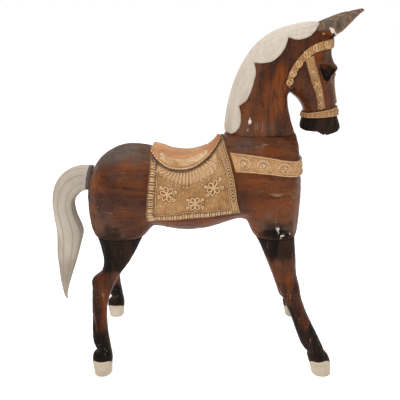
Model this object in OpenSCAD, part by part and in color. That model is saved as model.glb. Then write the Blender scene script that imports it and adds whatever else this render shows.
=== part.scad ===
// Carved wooden horse: a body block with separate neck, head, legs, hooves, ears and plug-in tail,
// dressed with a saddle, blanket, breast band and bridle of moulded paste.
// +X is towards the head, +Z is up, and the origin is on the floor under the middle of the horse.
// The right side of the horse is at -Y.

/* [Horse] */
// Length from the tail to the front hooves
horse_length = 586; // [490:1:700]
// Width across the hooves
horse_width = 230; // [192:1:276]
// Height from the floor to the ear tips
horse_height = 706; // [590:1:846]
// How far the left front hoof stands behind the right one
left_front_back = 18; // [0:1:30]
// How far the left rear hoof stands behind the right one
left_rear_back = 9; // [0:1:30]
// Height of a hoof's whitewashed block
hoof_h = 30; // [20:1:40]

/* [Dowels] */
// Radius of the dowels that hold the legs
leg_dowel_r = 6; // [4:0.5:8]
// Depth of a leg dowel in each of its two pieces
leg_dowel_depth = 28; // [15:1:40]
// Distance between the two dowels of a leg
leg_dowel_gap = 30; // [20:1:36]
// Radius of the dowels under the neck
neck_dowel_r = 8; // [5:0.5:10]
// Depth of a neck dowel in each of its two pieces
neck_dowel_depth = 32; // [20:1:45]
// Distance between the two neck dowels
neck_dowel_gap = 46; // [30:1:60]
// Radius of the dowel between neck and head
head_dowel_r = 7; // [5:0.5:10]
// Depth of the head dowel in each of its two pieces
head_dowel_depth = 22; // [12:1:30]
// Radius of the pegs in the ears
ear_peg_r = 2.5; // [2:0.5:3.5]
// Length of an ear peg
ear_peg_l = 20; // [12:1:26]

/* [Tail] */
// Angle of the tail's plug above the horizontal
tail_tilt = 12; // [0:1:25]
// Radius of the tail's round peg
tail_peg_r = 9; // [6:0.5:12]
// Length of the peg that goes into the rump
tail_peg_out = 44; // [30:1:50]
// Length of the peg that is glued in the tail
tail_peg_in = 20; // [12:1:26]
// Radial clearance of the peg in the rump and the collar
peg_clearance = 0.06; // [0.03:0.01:0.09]
// Gap between the tail's root and its collar
root_gap = 0.1; // [0.05:0.05:0.5]
// Half the height of the tail's root
tail_root_h = 25; // [20:1:28]
// Half the width of the tail's root
tail_root_w = 20; // [14:1:24]
// Thickness of the black collar between rump and tail
collar_t = 3; // [2:0.5:5]
// Radius of the collar
collar_r = 21; // [16:1:24]

/* [Dressing] */
// Thickness of the paste bed that holds each dressing on the wood
bed = 0.5; // [0.4:0.05:0.8]
// Thickness of the mane cap
mane_t = 4.5; // [3:0.5:7]
// Thickness of the saddle blanket
blanket_t = 2; // [1.5:0.1:4]
// Thickness of the saddle seat
seat_t = 7; // [4:0.5:10]
// Thickness of the seat's rim panels
rim_t = 1.5; // [1:0.1:3]
// Radius of the beads along the seat's edge
bead_r = 1.6; // [1:0.1:2]
// Number of beads on each side of the seat
bead_count = 24; // [12:1:30]
// Height of the border, rays and rosettes above the blanket
relief_t = 1.2; // [0.8:0.1:2]
// Number of rays under each side of the seat
ray_count = 16; // [8:1:18]
// Width of a ray
ray_w = 2.6; // [1.5:0.1:4]
// Radius of a rosette
rosette_r = 12; // [8:0.5:14]
// Thickness of the breast band
band_t = 3; // [2:0.1:5]
// Thickness of the bridle straps
strap_t = 2.5; // [1.5:0.1:4]
// Radius of the ring studs on the crown strap
stud_r = 5; // [3:0.5:5.5]
// Thickness of the painted eyes
eye_t = 0.8; // [0.5:0.1:1.5]

/* [Hidden] */

wood = [0.36, 0.17, 0.09];
gold = [0.72, 0.48, 0.22];
cream = [0.83, 0.77, 0.68];
black = [0.06, 0.05, 0.05];
pale_wood = [0.70, 0.55, 0.38];

// The design is drawn at 586 x 230 x 706, and stretched to the sizes above.
stretch = [horse_length / 586, horse_width / 230, horse_height / 706];
// Heights of the seams under the body block and under the neck, as drawn.
leg_seam = 300;
neck_seam = 495;
// What is laid on a dressing is lifted this little off it.
hair = 0.4;
right = -1;
left = 1;

// Body block, from rump to chest: x, height of the widest line, rise above it, drop below it,
// half width, and squareness of the section.
TRUNK = [
    [-206, 356, 12, 14, 12, 2.0],
    [-202.5, 358, 38, 40, 36, 2.1],
    [-195, 362, 57, 68, 54, 2.2],
    [-184, 368, 71, 98, 67, 2.5],
    [-165, 374, 81, 122, 78, 2.7],
    [-140, 378, 88, 126, 83, 2.7],
    [-112, 380, 89, 100, 84, 2.5],
    [-95, 380, 88, 74, 85, 2.3],
    [-70, 380, 82, 69, 85, 2.2],
    [-40, 380, 72, 76, 84, 2.2],
    [-5, 380, 69, 80, 83, 2.2],
    [30, 381, 77, 77, 82, 2.2],
    [50, 382, 93, 72, 81, 2.1],
    [66, 383, 113, 66, 80, 2.1],
    [95, 384, 124, 60, 79, 2.1],
    [118, 385, 128, 74, 79, 2.2],
    [135, 385, 129, 106, 79, 2.4],
    [160, 384, 125, 126, 78, 2.6],
    [180, 380, 118, 120, 73, 2.5],
    [194, 374, 122, 98, 65, 2.3],
    [204.5, 368, 84, 75, 50, 2.2],
    [212, 364, 47, 44, 30, 2.1],
    [216, 364, 14, 14, 10, 2.0]
];
TRUNK_RINGS = [
    -206, -202.5, -195, -187, -178, -166, -154, -140, -126, -112, -100, -88, -76, -60, -40, -20,
    0, 18, 32, 42, 50, 57, 64, 72, 82, 95, 107, 118, 128, 138, 150, 162, 172, 181, 188, 194,
    200, 204.5, 208, 212, 216
];

// The other carved pieces: step, front point x z, rear point x z, middle y, half width, squareness.
NECK = [
    [0, 194, 495, 66, 495, 0, 47, 2.2],
    [1, 186, 517, 66, 517, 0, 45, 2.2],
    [2, 180, 538, 72, 553, 0, 43, 2.2],
    [3, 177, 552, 81, 587, 0, 40, 2.2],
    [4, 176, 559, 96, 620, 0, 37, 2.2],
    [5, 176, 562.5, 118, 649, 0, 35, 2.2],
    [6, 177, 565, 147, 669, 0, 33, 2.2],
    [7, 178, 566.5, 181, 679, 0, 32, 2.3],
    [8, 179, 568, 212, 683, 0, 31, 2.3]
];
HEAD = [
    [0, 279, 494, 212, 495, 0, 16, 2.4],
    [1, 279, 507, 204, 506, 0, 21, 2.4],
    [2, 273, 522, 205, 519, 0, 22, 2.4],
    [3, 266, 545, 208, 533, 0, 23, 2.4],
    [4, 255, 588, 203, 546, 0, 30, 2.4],
    [5, 256, 610, 197, 554, 0, 35, 2.4],
    [6, 246, 637, 192, 559, 0, 36, 2.4],
    [7, 245, 659, 187, 563, 0, 34, 2.4],
    [8, 234, 677, 183, 566, 0, 33, 2.4],
    [9, 212, 683, 179, 568, 0, 31, 2.3]
];
LEG_REAR = [
    [0, -173, 0, -209, 0, 98, 17, 2.3],
    [30, -170, 30, -211, 30, 95, 18, 2.3],
    [46, -170, 46, -209, 46, 94, 17, 2.3],
    [56, -171, 56, -200, 56, 93, 14, 2.3],
    [78, -173, 78, -207, 78, 90, 15, 2.3],
    [100, -175, 100, -207, 100, 87, 14, 2.2],
    [135, -175, 135, -205, 135, 82, 13, 2.2],
    [165, -171, 165, -204, 165, 77, 14, 2.2],
    [195, -159, 195, -202, 195, 71, 17, 2.2],
    [212, -150, 212, -201, 212, 67, 19, 2.2],
    [228, -140, 228, -183, 228, 63, 20, 2.2],
    [250, -124, 250, -177, 250, 58, 23, 2.2],
    [275, -109, 275, -180, 275, 53, 25, 2.3],
    [300, -97, 300, -186, 300, 49, 27, 2.4]
];
LEG_FRONT = [
    [0, 293, 0, 253, 0, 98, 17, 2.3],
    [30, 289, 30, 244, 30, 95, 18, 2.3],
    [42, 284, 42, 240, 42, 94, 17, 2.3],
    [52, 276, 52, 240, 52, 93, 14, 2.3],
    [66, 270, 66, 228, 66, 91, 15, 2.3],
    [100, 253, 100, 213, 100, 86, 15, 2.2],
    [130, 238, 130, 202, 130, 81, 15, 2.2],
    [155, 227, 155, 191, 155, 77, 16, 2.2],
    [175, 220, 175, 181, 175, 73, 18, 2.2],
    [198, 215, 198, 169, 198, 69, 19, 2.2],
    [228, 208, 228, 157, 228, 62, 21, 2.2],
    [254, 206, 254, 146, 254, 57, 23, 2.2],
    [280, 203, 280, 135, 280, 52, 24, 2.3],
    [300, 201, 300, 124, 300, 48, 25, 2.4]
];
EAR = [
    [0, 248, 665, 219, 684, 20, 12, 2],
    [1, 258, 672, 231, 690, 21, 13, 2],
    [2, 269, 683, 247, 696, 21, 12, 2],
    [3, 280, 695, 264, 702, 21, 8, 2],
    [4, 289, 703, 284, 706, 20, 3, 2]
];
// The tail hangs from its root in a long S. Its root comes from the Tail sizes.
TAIL = [
    [1, -221, 430, -221, 375, 0, 21, 2.2],
    [2, -241, 423, -230, 367, 0, 21, 2.2],
    [3, -261, 409, -237, 358, 0, 20, 2.2],
    [4, -277, 386, -240, 348, 0, 19, 2.2],
    [5, -285, 355, -240, 336, 0, 18, 2.2],
    [6, -286, 321, -237, 319, 0, 17, 2.2],
    [7, -286, 282, -229, 286, 0, 16, 2.2],
    [8, -291, 239, -240, 246, 0, 14, 2.2],
    [9, -292, 202, -253, 209, 0, 12, 2.2],
    [10, -293, 164, -268, 171, 0, 9, 2.1],
    [11, -290, 130, -281, 133, 0, 5, 2],
    [12, -286, 117, -283, 117, 0, 2, 2]
];
tail_seat = [-198.5, 0, 403];

// Edges of the dressings, in degrees from the top of the back to the right, at places along x.
SEAT_EDGE = [[-78, 18], [-65, 32], [-44, 40], [-23, 41], [5, 37], [30, 26], [47, 18], [58, 12]];
BLANKET_REAR = [[0, -80], [43, -77], [75, -80], [106, -85], [115, -85]];
BLANKET_FRONT = [[0, 58], [37, 64], [57, 71], [80, 80], [115, 91]];
BLANKET_BOTTOM = [[0, 119], [0.2, 116], [0.5, 110], [0.75, 111], [1, 114]];
// Heights of the breast band's edges at places along x. It goes round the chest beyond band_turn.
BAND_TOP = [[68, 469], [139, 463], [186, 454], [216, 450]];
BAND_BOTTOM = [[68, 437], [139, 433], [186, 426], [216, 423]];
band_start = [68, 79];
band_turn = 186;
BORDER_OUTER = [
    [0, -77, 28], [1, -76, 43], [2, -79, 75], [3, -83.5, 105], [4, -83, 115], [5, -58, 113], [6, -30, 109],
    [7, 0, 107.5], [8, 34, 107.5], [9, 62, 109], [10, 88, 110], [11, 84, 96], [12, 78, 80], [13, 69, 57],
    [14, 62, 37]
];
BORDER_INNER = [
    [0, -66, 34], [1, -65, 46], [2, -67, 75], [3, -71, 97], [4, -71, 105], [5, -56, 103.5], [6, -30, 100.5],
    [7, 0, 98.5], [8, 34, 98.5], [9, 58, 99.5], [10, 74, 101], [11, 71, 93], [12, 66, 80], [13, 57, 57],
    [14, 51, 40]
];
ROSETTES = [[-44, 77], [6, 89], [40, 72]];
SCROLLS = [[102, 59], [135, 65], [166, 66], [190, 62]];

// A signed power, for the squareness of a section.
function spow(v, e) = sign(v) * pow(abs(v), e);
function unit(v) = v / norm(v);
function segment(table, u, i = 0) =
    (i >= len(table) - 2 || u < table[i + 1][0]) ? i : segment(table, u, i + 1);
function slope(table, i) =
    let (a = table[max(i - 1, 0)], b = table[min(i + 1, len(table) - 1)])
    (b - a) / (b[0] - a[0]);
// The row of a table at u, on a smooth curve through its rows.
function smooth(table, u) =
    let (
        i = segment(table, u),
        h = table[i + 1][0] - table[i][0],
        t = (u - table[i][0]) / h,
        t2 = t * t,
        t3 = t2 * t
    )
    (2 * t3 - 3 * t2 + 1) * table[i] + (t3 - 2 * t2 + t) * h * slope(table, i)
    + (3 * t2 - 2 * t3) * table[i + 1] + (t3 - t2) * h * slope(table, i + 1);
function between(a, b, t) = a + (b - a) * t;
function stretched(p) = [p.x * stretch.x, p.y * stretch.y, p.z * stretch.z];

// The body block's skin at x, at an angle around from the left side over the back.
function trunk_raw(x, a) =
    let (s = smooth(TRUNK, x), sa = sin(a))
    [x, s[4] * spow(cos(a), 2 / s[5]), s[1] + (sa >= 0 ? s[2] : s[3]) * spow(sa, 2 / s[5])];
function trunk_skin(x, a) = stretched(trunk_raw(x, a));
function trunk_cut(x, a) =
    let (p = trunk_raw(x, a))
    stretched([p.x, p.y, min(max(p.z, leg_seam), neck_seam)]);
// The skin of a piece given as pairs of a front and a rear point.
function pair_skin(table, u, a) =
    let (s = smooth(table, u), c = spow(cos(a), 2 / s[7]))
    stretched([
        (s[1] + s[3]) / 2 + (s[1] - s[3]) / 2 * c,
        s[5] + s[6] * spow(sin(a), 2 / s[7]),
        (s[2] + s[4]) / 2 + (s[2] - s[4]) / 2 * c
    ]);
neck_skin = function(u, a) pair_skin(NECK, u, a);
head_skin = function(u, a) pair_skin(HEAD, u, a);
back_skin = function(x, a) trunk_skin(x, a);

// The point of a skin at u and angle a, lifted off it by h.
function lifted(skin, u, a, h, du = 0.02) =
    let (
        along = skin(u + du, a) - skin(u - du, a),
        around = skin(u, a + 2) - skin(u, a - 2)
    )
    skin(u, a) + h * unit(cross(around, along));

function steps(from, to, n) = [for (i = [0:n]) from + (to - from) * i / n];
function around(n) = [for (j = [0:n - 1]) 360 * (j + 0.5) / n];

// A closed solid through rings of points, each ring running the same way round.
module loft(rings) {
    m = len(rings);
    n = len(rings[0]);
    polyhedron(
        points = [for (r = rings) each r],
        faces = concat(
            [for (i = [0:m - 2], j = [0:n - 1]) [i * n + j, (i + 1) * n + j, (i + 1) * n + (j + 1) % n]],
            [for (i = [0:m - 2], j = [0:n - 1]) [i * n + j, (i + 1) * n + (j + 1) % n, i * n + (j + 1) % n]],
            [for (j = [1:n - 2]) [0, j, j + 1]],
            [for (j = [1:n - 2]) [(m - 1) * n, (m - 1) * n + j + 1, (m - 1) * n + j]]
        )
    );
}

// A closed slab between a grid of outer points and the same grid of inner points.
module slab(outer, inner) {
    m = len(outer);
    n = len(outer[0]);
    k = m * n;
    edge = concat(
        [for (j = [0:n - 2]) j],
        [for (i = [0:m - 2]) i * n + n - 1],
        [for (j = [n - 1:-1:1]) (m - 1) * n + j],
        [for (i = [m - 1:-1:1]) i * n]
    );
    e = len(edge);
    polyhedron(
        points = concat([for (r = outer) each r], [for (r = inner) each r]),
        faces = concat(
            [for (i = [0:m - 2], j = [0:n - 2]) [i * n + j, (i + 1) * n + j, (i + 1) * n + j + 1]],
            [for (i = [0:m - 2], j = [0:n - 2]) [i * n + j, (i + 1) * n + j + 1, i * n + j + 1]],
            [for (i = [0:m - 2], j = [0:n - 2]) [k + i * n + j, k + (i + 1) * n + j + 1, k + (i + 1) * n + j]],
            [for (i = [0:m - 2], j = [0:n - 2]) [k + i * n + j, k + i * n + j + 1, k + (i + 1) * n + j + 1]],
            [for (q = [0:e - 1]) [edge[q], edge[(q + 1) % e], k + edge[(q + 1) % e]]],
            [for (q = [0:e - 1]) [edge[q], k + edge[(q + 1) % e], k + edge[q]]]
        )
    );
}

// A slab on a skin: spots is a grid of [u, angle], from height low to height high above the skin.
module dressing(skin, spots, low, high) {
    slab(
        [for (r = spots) [for (s = r) lifted(skin, s[0], s[1], high)]],
        [for (r = spots) [for (s = r) lifted(skin, s[0], s[1], low)]]
    );
}

module pair_loft(table, us, n) {
    loft([for (u = us) [for (a = around(n)) pair_skin(table, u, a)]]);
}

// A dowel's two halves meet at a seam: z up is along the dowel.
module dowel(r, depth, slack = 0) {
    translate([0, 0, -depth - slack])
        cylinder(r = r, h = 2 * (depth + slack), $fn = 48);
}

// ---- places of the joints ----
function leg_centre(table) = (smooth(table, leg_seam)[1] + smooth(table, leg_seam)[3]) / 2;
// The dowels stand this much towards the end of the horse, where the leg runs down.
leg_dowel_shift = 6;
module at_leg_dowels(table, side) {
    for (d = [-0.5, 0.5])
        translate(stretched([leg_centre(table), side * smooth(table, leg_seam)[5], leg_seam])
            + [d * leg_dowel_gap + leg_dowel_shift * sign(leg_centre(table)), 0, 0])
            children();
}
module at_neck_dowels() {
    for (d = [-0.5, 0.5])
        translate(stretched([(NECK[0][1] + NECK[0][3]) / 2, 0, neck_seam]) + [d * neck_dowel_gap, 0, 0])
            children();
}
head_top = stretched([HEAD[9][1], 0, HEAD[9][2]]);
head_throat = stretched([HEAD[9][3], 0, HEAD[9][4]]);
head_lean = atan2(head_top.x - head_throat.x, head_top.z - head_throat.z);
module at_head_dowel() {
    translate((head_top + head_throat) / 2)
        rotate([0, head_lean + 90, 0])
            children();
}
tail_axis = [-cos(tail_tilt), 0, sin(tail_tilt)];
tail_root = stretched(tail_seat);
// The tail's own frame: z runs out of the rump, along the peg.
module at_tail() {
    translate(tail_root)
        rotate([0, tail_tilt - 90, 0])
            children();
}
module at_ear_peg(side) {
    base = stretched([231, side * 21, 672]);
    translate(base)
        rotate([0, 50, 0])
            children();
}

// ---- body block ----
module barrel() {
    color(wood)
        difference() {
            loft([for (x = TRUNK_RINGS) [for (a = around(32)) trunk_cut(x, a)]]);
            for (side = [right, left]) {
                at_leg_dowels(LEG_FRONT, side) dowel(leg_dowel_r, leg_dowel_depth);
                at_leg_dowels(LEG_REAR, side) dowel(leg_dowel_r, leg_dowel_depth);
            }
            at_neck_dowels() dowel(neck_dowel_r, neck_dowel_depth);
            at_tail() {
                cylinder(r = collar_r + 1, h = 40, $fn = 64);
                translate([0, 0, -tail_peg_out - 2])
                    cylinder(r = tail_peg_r + peg_clearance, h = tail_peg_out + 4, $fn = 64);
            }
        }
}

// ---- neck, head and ears ----
module neck() {
    color(wood)
        difference() {
            pair_loft(NECK, steps(0, 8, 16), 28);
            at_neck_dowels() dowel(neck_dowel_r, neck_dowel_depth);
            at_head_dowel() dowel(head_dowel_r, head_dowel_depth);
        }
}
module head() {
    color(wood)
        difference() {
            pair_loft(HEAD, steps(0, 9, 18), 28);
            at_head_dowel() dowel(head_dowel_r, head_dowel_depth);
            for (side = [right, left]) {
                ear_blank(side);
                at_ear_peg(side) cylinder(r = ear_peg_r, h = ear_peg_l, center = true, $fn = 32);
            }
        }
}
module ear_blank(side) {
    if (side == right)
        mirror([0, 1, 0]) pair_loft(EAR, steps(0, 4, 6), 12);
    else
        pair_loft(EAR, steps(0, 4, 6), 12);
}
module ear(side) {
    color(wood)
        difference() {
            ear_blank(side);
            at_ear_peg(side) cylinder(r = ear_peg_r, h = ear_peg_l, center = true, $fn = 32);
        }
}
module mane() {
    // The cap's half width swells and pinches in scallops down the neck.
    function scallop(u) = 46 + 16 * abs(sin(180 * (u + 0.1) / 2.1)) - 12 * u / 8;
    color(cream)
        dressing(
            neck_skin,
            [for (u = steps(0.12, 7.9, 28))
                [for (d = steps(-scallop(u), scallop(u), 10)) [u, 180 + d]]],
            bed, mane_t
        );
}

// ---- legs and hooves ----
// A leg's table for the left side: it leans back towards the floor.
function leaning(table, back) = [
    for (s = table)
        let (b = back * (1 - s[0] / leg_seam))
        [s[0], s[1] - b, s[2], s[3] - b, s[4], s[5], s[6], s[7]]
];
LEG_FRONT_LEFT = leaning(LEG_FRONT, left_front_back);
LEG_REAR_LEFT = leaning(LEG_REAR, left_rear_back);
module leg_side(side) {
    if (side == right)
        mirror([0, 1, 0]) children();
    else
        children();
}
hoof_u = hoof_h / stretch.z;
module leg(table, side) {
    color(wood)
        difference() {
            leg_side(side)
                pair_loft(table, concat([hoof_u, 38], [for (s = table) if (s[0] > 38) s[0]]), 20);
            at_leg_dowels(table, side) dowel(leg_dowel_r, leg_dowel_depth);
        }
}
module hoof(table, side) {
    color(cream)
        leg_side(side)
            pair_loft(table, [0, hoof_u / 2, hoof_u], 20);
}

// ---- dowels and pegs ----
module leg_dowels() {
    color(pale_wood)
        for (side = [right, left]) {
            at_leg_dowels(LEG_FRONT, side) dowel(leg_dowel_r, leg_dowel_depth);
            at_leg_dowels(LEG_REAR, side) dowel(leg_dowel_r, leg_dowel_depth);
        }
}
module neck_dowels() {
    color(pale_wood) at_neck_dowels() dowel(neck_dowel_r, neck_dowel_depth);
}
module head_dowel() {
    color(pale_wood) at_head_dowel() dowel(head_dowel_r, head_dowel_depth);
}
module ear_pegs() {
    color(pale_wood)
        for (side = [right, left])
            at_ear_peg(side) cylinder(r = ear_peg_r, h = ear_peg_l, center = true, $fn = 32);
}

// ---- tail, its peg and collar ----
// The tail's root ring stands square to the peg, just off the collar.
tail_start = tail_root + (collar_t + root_gap) * tail_axis;
tail_up = [sin(tail_tilt), 0, cos(tail_tilt)];
function tail_ring(u, n) = [for (a = around(n)) pair_skin(TAIL, u, a)];
function tail_root_ring(n) = [
    for (a = around(n))
        tail_start + tail_root_h * spow(cos(a), 0.9) * tail_up + [0, tail_root_w * spow(sin(a), 0.9), 0]
];
module tail() {
    color(cream)
        difference() {
            loft(concat([tail_root_ring(20)], [for (u = steps(1, 12, 22)) tail_ring(u, 20)]));
            at_tail() cylinder(r = tail_peg_r, h = collar_t + tail_peg_in, $fn = 64);
        }
}
module tail_peg() {
    color(pale_wood)
        at_tail()
            translate([0, 0, -tail_peg_out])
                cylinder(r = tail_peg_r, h = tail_peg_out + collar_t + tail_peg_in, $fn = 64);
}
module tail_collar() {
    color(black)
        at_tail()
            difference() {
                cylinder(r = collar_r, h = collar_t, $fn = 64);
                translate([0, 0, -1])
                    cylinder(r = tail_peg_r + peg_clearance, h = collar_t + 2, $fn = 64);
            }
}

// ---- saddle ----
blanket_top = bed + blanket_t;
seat_low = blanket_top + bed;
function seat_edge(x) = smooth(SEAT_EDGE, x)[1];
seat_xs = [-78, -74, -66, -55, -44, -32, -20, -8, 5, 18, 30, 40, 47, 53, 58];
module saddle_seat() {
    color(gold)
        dressing(
            back_skin,
            [for (x = seat_xs) [for (d = steps(-seat_edge(x), seat_edge(x), 16)) [x, 90 + d]]],
            seat_low, seat_low + seat_t
        );
}
rim_xs = [-60, -52, -44, -32, -20, -8, 5, 18, 30];
module seat_rim(side) {
    color(gold)
        dressing(
            back_skin,
            [for (x = rim_xs)
                let (far = 90 + side_turn(side) * (seat_edge(x) - 3), near = far - side_turn(side) * 9)
                [for (a = steps(min(far, near), max(far, near), 3)) [x, a]]],
            seat_low + seat_t + hair, seat_low + seat_t + rim_t
        );
}
// Angles grow to the right, and shrink to the left.
function side_turn(side) = -side;
module seat_beads(side) {
    color(cream)
        for (x = steps(seat_xs[1], 52, bead_count - 1))
            translate(lifted(back_skin, x, 90 + side_turn(side) * (seat_edge(x) - 1.2),
                seat_low + seat_t + bead_r + hair))
                sphere(r = bead_r, $fn = 16);
}

// ---- blanket ----
function blanket_x(s, d) =
    (1 - s) * smooth(BLANKET_REAR, abs(d))[1] + s * smooth(BLANKET_FRONT, abs(d))[1];
function blanket_bottom(s) = smooth(BLANKET_BOTTOM, s)[1];
module blanket() {
    color(gold)
        dressing(
            back_skin,
            [for (s = steps(0, 1, 16))
                [for (t = steps(-1, 1, 36)) let (d = t * blanket_bottom(s)) [blanket_x(s, d), 90 + d]]],
            bed, blanket_top
        );
}
module blanket_border(side) {
    spots = [
        for (u = steps(0, 14, 42))
            let (o = smooth(BORDER_OUTER, u), i = smooth(BORDER_INNER, u))
            [for (t = side == right ? steps(1, 0, 3) : steps(0, 1, 3))
                [o[1] + (i[1] - o[1]) * t, 90 + side_turn(side) * (o[2] + (i[2] - o[2]) * t)]]
    ];
    color(gold)
        dressing(back_skin, spots, blanket_top + hair, blanket_top + relief_t);
}
// The ends of ray k: it starts at the seat's edge and runs down and outwards.
function ray_start(k) = let (t = k / (ray_count - 1), x = -52 + 86 * t) [x, seat_edge(x) + 5];
function ray_end(k) = let (t = k / (ray_count - 1)) [-62 + 106 * t, 46 + 20 * sin(180 * t)];
module fan_rays(side) {
    half = ray_w / 2;
    color(gold)
        for (k = [0:ray_count - 1]) {
            a = ray_start(k);
            b = ray_end(k);
            dressing(
                back_skin,
                [for (w = [-half, half])
                    [for (t = side == right ? steps(0, 1, 5) : steps(1, 0, 5))
                        [a[0] + (b[0] - a[0]) * t + w, 90 + side_turn(side) * (a[1] + (b[1] - a[1]) * t)]]],
                blanket_top + hair, blanket_top + relief_t
            );
        }
}
// A round boss standing square on the skin at x and d degrees from the top.
module boss(x, d, side, low, r, h) {
    spot = lifted(back_skin, x, 90 + side_turn(side) * d, low);
    out = unit(lifted(back_skin, x, 90 + side_turn(side) * d, low + 1) - spot);
    translate(spot)
        rotate([0, acos(out.z), atan2(out.y, out.x)])
            cylinder(r = r, h = h, $fn = 48);
}
module rosettes(side) {
    color(gold)
        for (p = ROSETTES)
            boss(p[0], p[1], side, blanket_top + hair, rosette_r, relief_t);
}

// ---- breast band ----
// Degrees from the top of the back to the point of the trunk at x and height z.
function side_angle(x, z) = let (r = smooth(TRUNK, x)) 90 - asin(pow(min(1, (z - r[1]) / r[2]), r[5] / 2));
// The place along x where the chest, d degrees from the top, comes down to height z, found by halving.
function chest_x(d, z, low = 150, high = 216, n = 24) =
    let (mid = (low + high) / 2)
    n == 0 ? mid
    : trunk_raw(mid, 90 - d).z > z ? chest_x(d, z, mid, high, n - 1) : chest_x(d, z, low, mid, n - 1);
// Rows of the band: how far they are from its end to the turn, and their share of the turn's angle.
band_rows = concat(
    [for (u = steps(0, 1, 24)) [u, 1]],
    [for (v = steps(0.93, -0.93, 22)) [1, sin(90 * v)]],
    [for (u = steps(1, 0, 24)) [u, -1]]
);
function band_place(row, t) =
    let (
        share = abs(row[1]),
        x = between(between(band_start[0], band_start[1], t), band_turn, row[0]),
        ahead = x + (1 - share) * 20,
        z = between(smooth(BAND_TOP, ahead)[1], smooth(BAND_BOTTOM, ahead)[1], t),
        d = share * side_angle(x, z)
    )
    [share == 1 ? x : chest_x(d, z), 90 - sign(row[1]) * d];
module breast_band() {
    color(gold)
        dressing(
            back_skin,
            [for (t = steps(0, 1, 3)) [for (row = band_rows) band_place(row, t)]],
            bed, bed + band_t
        );
}
module breast_scrolls(side) {
    color(gold)
        for (p = SCROLLS)
            boss(p[0], p[1], side, bed + band_t + hair, 9, relief_t);
}

// ---- bridle ----
// Edges of the bridle's straps in the side view: step, x, z, from the throat to the forehead for the
// crown strap, and from the noseband to the crown strap for the cheek straps.
CROWN_OUTER = [
    [0, 165, 586], [1, 168, 599], [2, 172.5, 612], [3, 183, 628], [4, 197, 642.5], [5, 214, 652],
    [6, 231, 657], [7, 243, 659]
];
CROWN_INNER = [
    [0, 173, 578], [1, 177, 592], [2, 183, 606], [3, 192, 620], [4, 205, 632], [5, 219, 639], [6, 234, 642],
    [7, 244, 643]
];
CHEEK_FRONT = [[0, 242, 543], [1, 233, 567], [2, 222, 596], [3, 211, 627]];
CHEEK_REAR = [[0, 227.5, 540], [1, 221, 562], [2, 209, 589], [3, 197, 621]];
EYE_TOP = [[221, 613], [245, 607]];
EYE_LOW = [[229, 599], [238, 597]];

// The head's rows, and then the neck's behind them turned about, so that one skin carries the bridle.
BRIDLE = concat(
    HEAD,
    [for (k = [7:-1:3]) let (r = NECK[k]) [17 - k, r[3], r[4], r[1], r[2], r[5], r[6], r[7]]]
);
bridle_skin = function(u, a) pair_skin(BRIDLE, u, a);
// The step of the bridle's rows whose line passes through x, z in the side view, found by halving.
function row_at(x, z, low = 0, high = 14, n = 22) =
    let (mid = (low + high) / 2, s = smooth(BRIDLE, mid))
    n == 0 ? mid
    : (s[1] - s[3]) * (z - s[4]) > (s[2] - s[4]) * (x - s[3])
        ? row_at(x, z, mid, high, n - 1)
        : row_at(x, z, low, mid, n - 1);
// The step and angle of the bridle's skin at x, z in the side view, on the left.
function place_at(x, z) =
    let (
        u = row_at(x, z),
        s = smooth(BRIDLE, u),
        line = [s[1] - s[3], s[2] - s[4]],
        c = max(-1, min(1, 2 * ([x - s[3], z - s[4]] * line) / (line * line) - 1))
    )
    [u, acos(spow(c, s[7] / 2))];
// A point lifted by h off one side of the head, at x, z in the side view.
function on_cheek(spot, side, h) =
    let (q = place_at(spot[0], spot[1]))
    lifted(bridle_skin, q[0], side * q[1], h);
// Steps of the head where the crown strap crosses the forehead.
crown_cross = [6.3, 7];
crown_end = 6.5;
// Rows of the crown strap: a step of its tables, and the share of the angle there.
crown_rows = concat(
    [for (u = steps(0, crown_end, 22)) [u, -1]],
    [for (w = steps(-0.85, 0.85, 10)) [crown_end, w]],
    [for (u = steps(crown_end, 0, 22)) [u, 1]]
);
function crown_spot(u, t) =
    let (p = between(smooth(CROWN_INNER, u), smooth(CROWN_OUTER, u), t))
    [p[1], p[2]];
function crown_point(row, t, h) =
    let (
        spot = crown_spot(row[0], t),
        q = place_at(spot[0], spot[1]),
        over = between(crown_cross[0], crown_cross[1], t)
    )
    lifted(bridle_skin, between(over, q[0], abs(row[1])), row[1] * q[1], h);
module crown_strap() {
    color(gold)
        slab(
            [for (t = steps(0, 1, 3)) [for (row = crown_rows) crown_point(row, t, bed + strap_t)]],
            [for (t = steps(0, 1, 3)) [for (row = crown_rows) crown_point(row, t, bed)]]
        );
}
module crown_studs(side) {
    color(gold)
        for (u = steps(0.6, 5.8, 5)) {
            spot = on_cheek(crown_spot(u, 0.5), side, bed + strap_t + hair);
            out = unit(on_cheek(crown_spot(u, 0.5), side, bed + strap_t + hair + 1) - spot);
            translate(spot)
                rotate([0, acos(out.z), atan2(out.y, out.x)])
                    cylinder(r = stud_r, h = relief_t, $fn = 32);
        }
}
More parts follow.
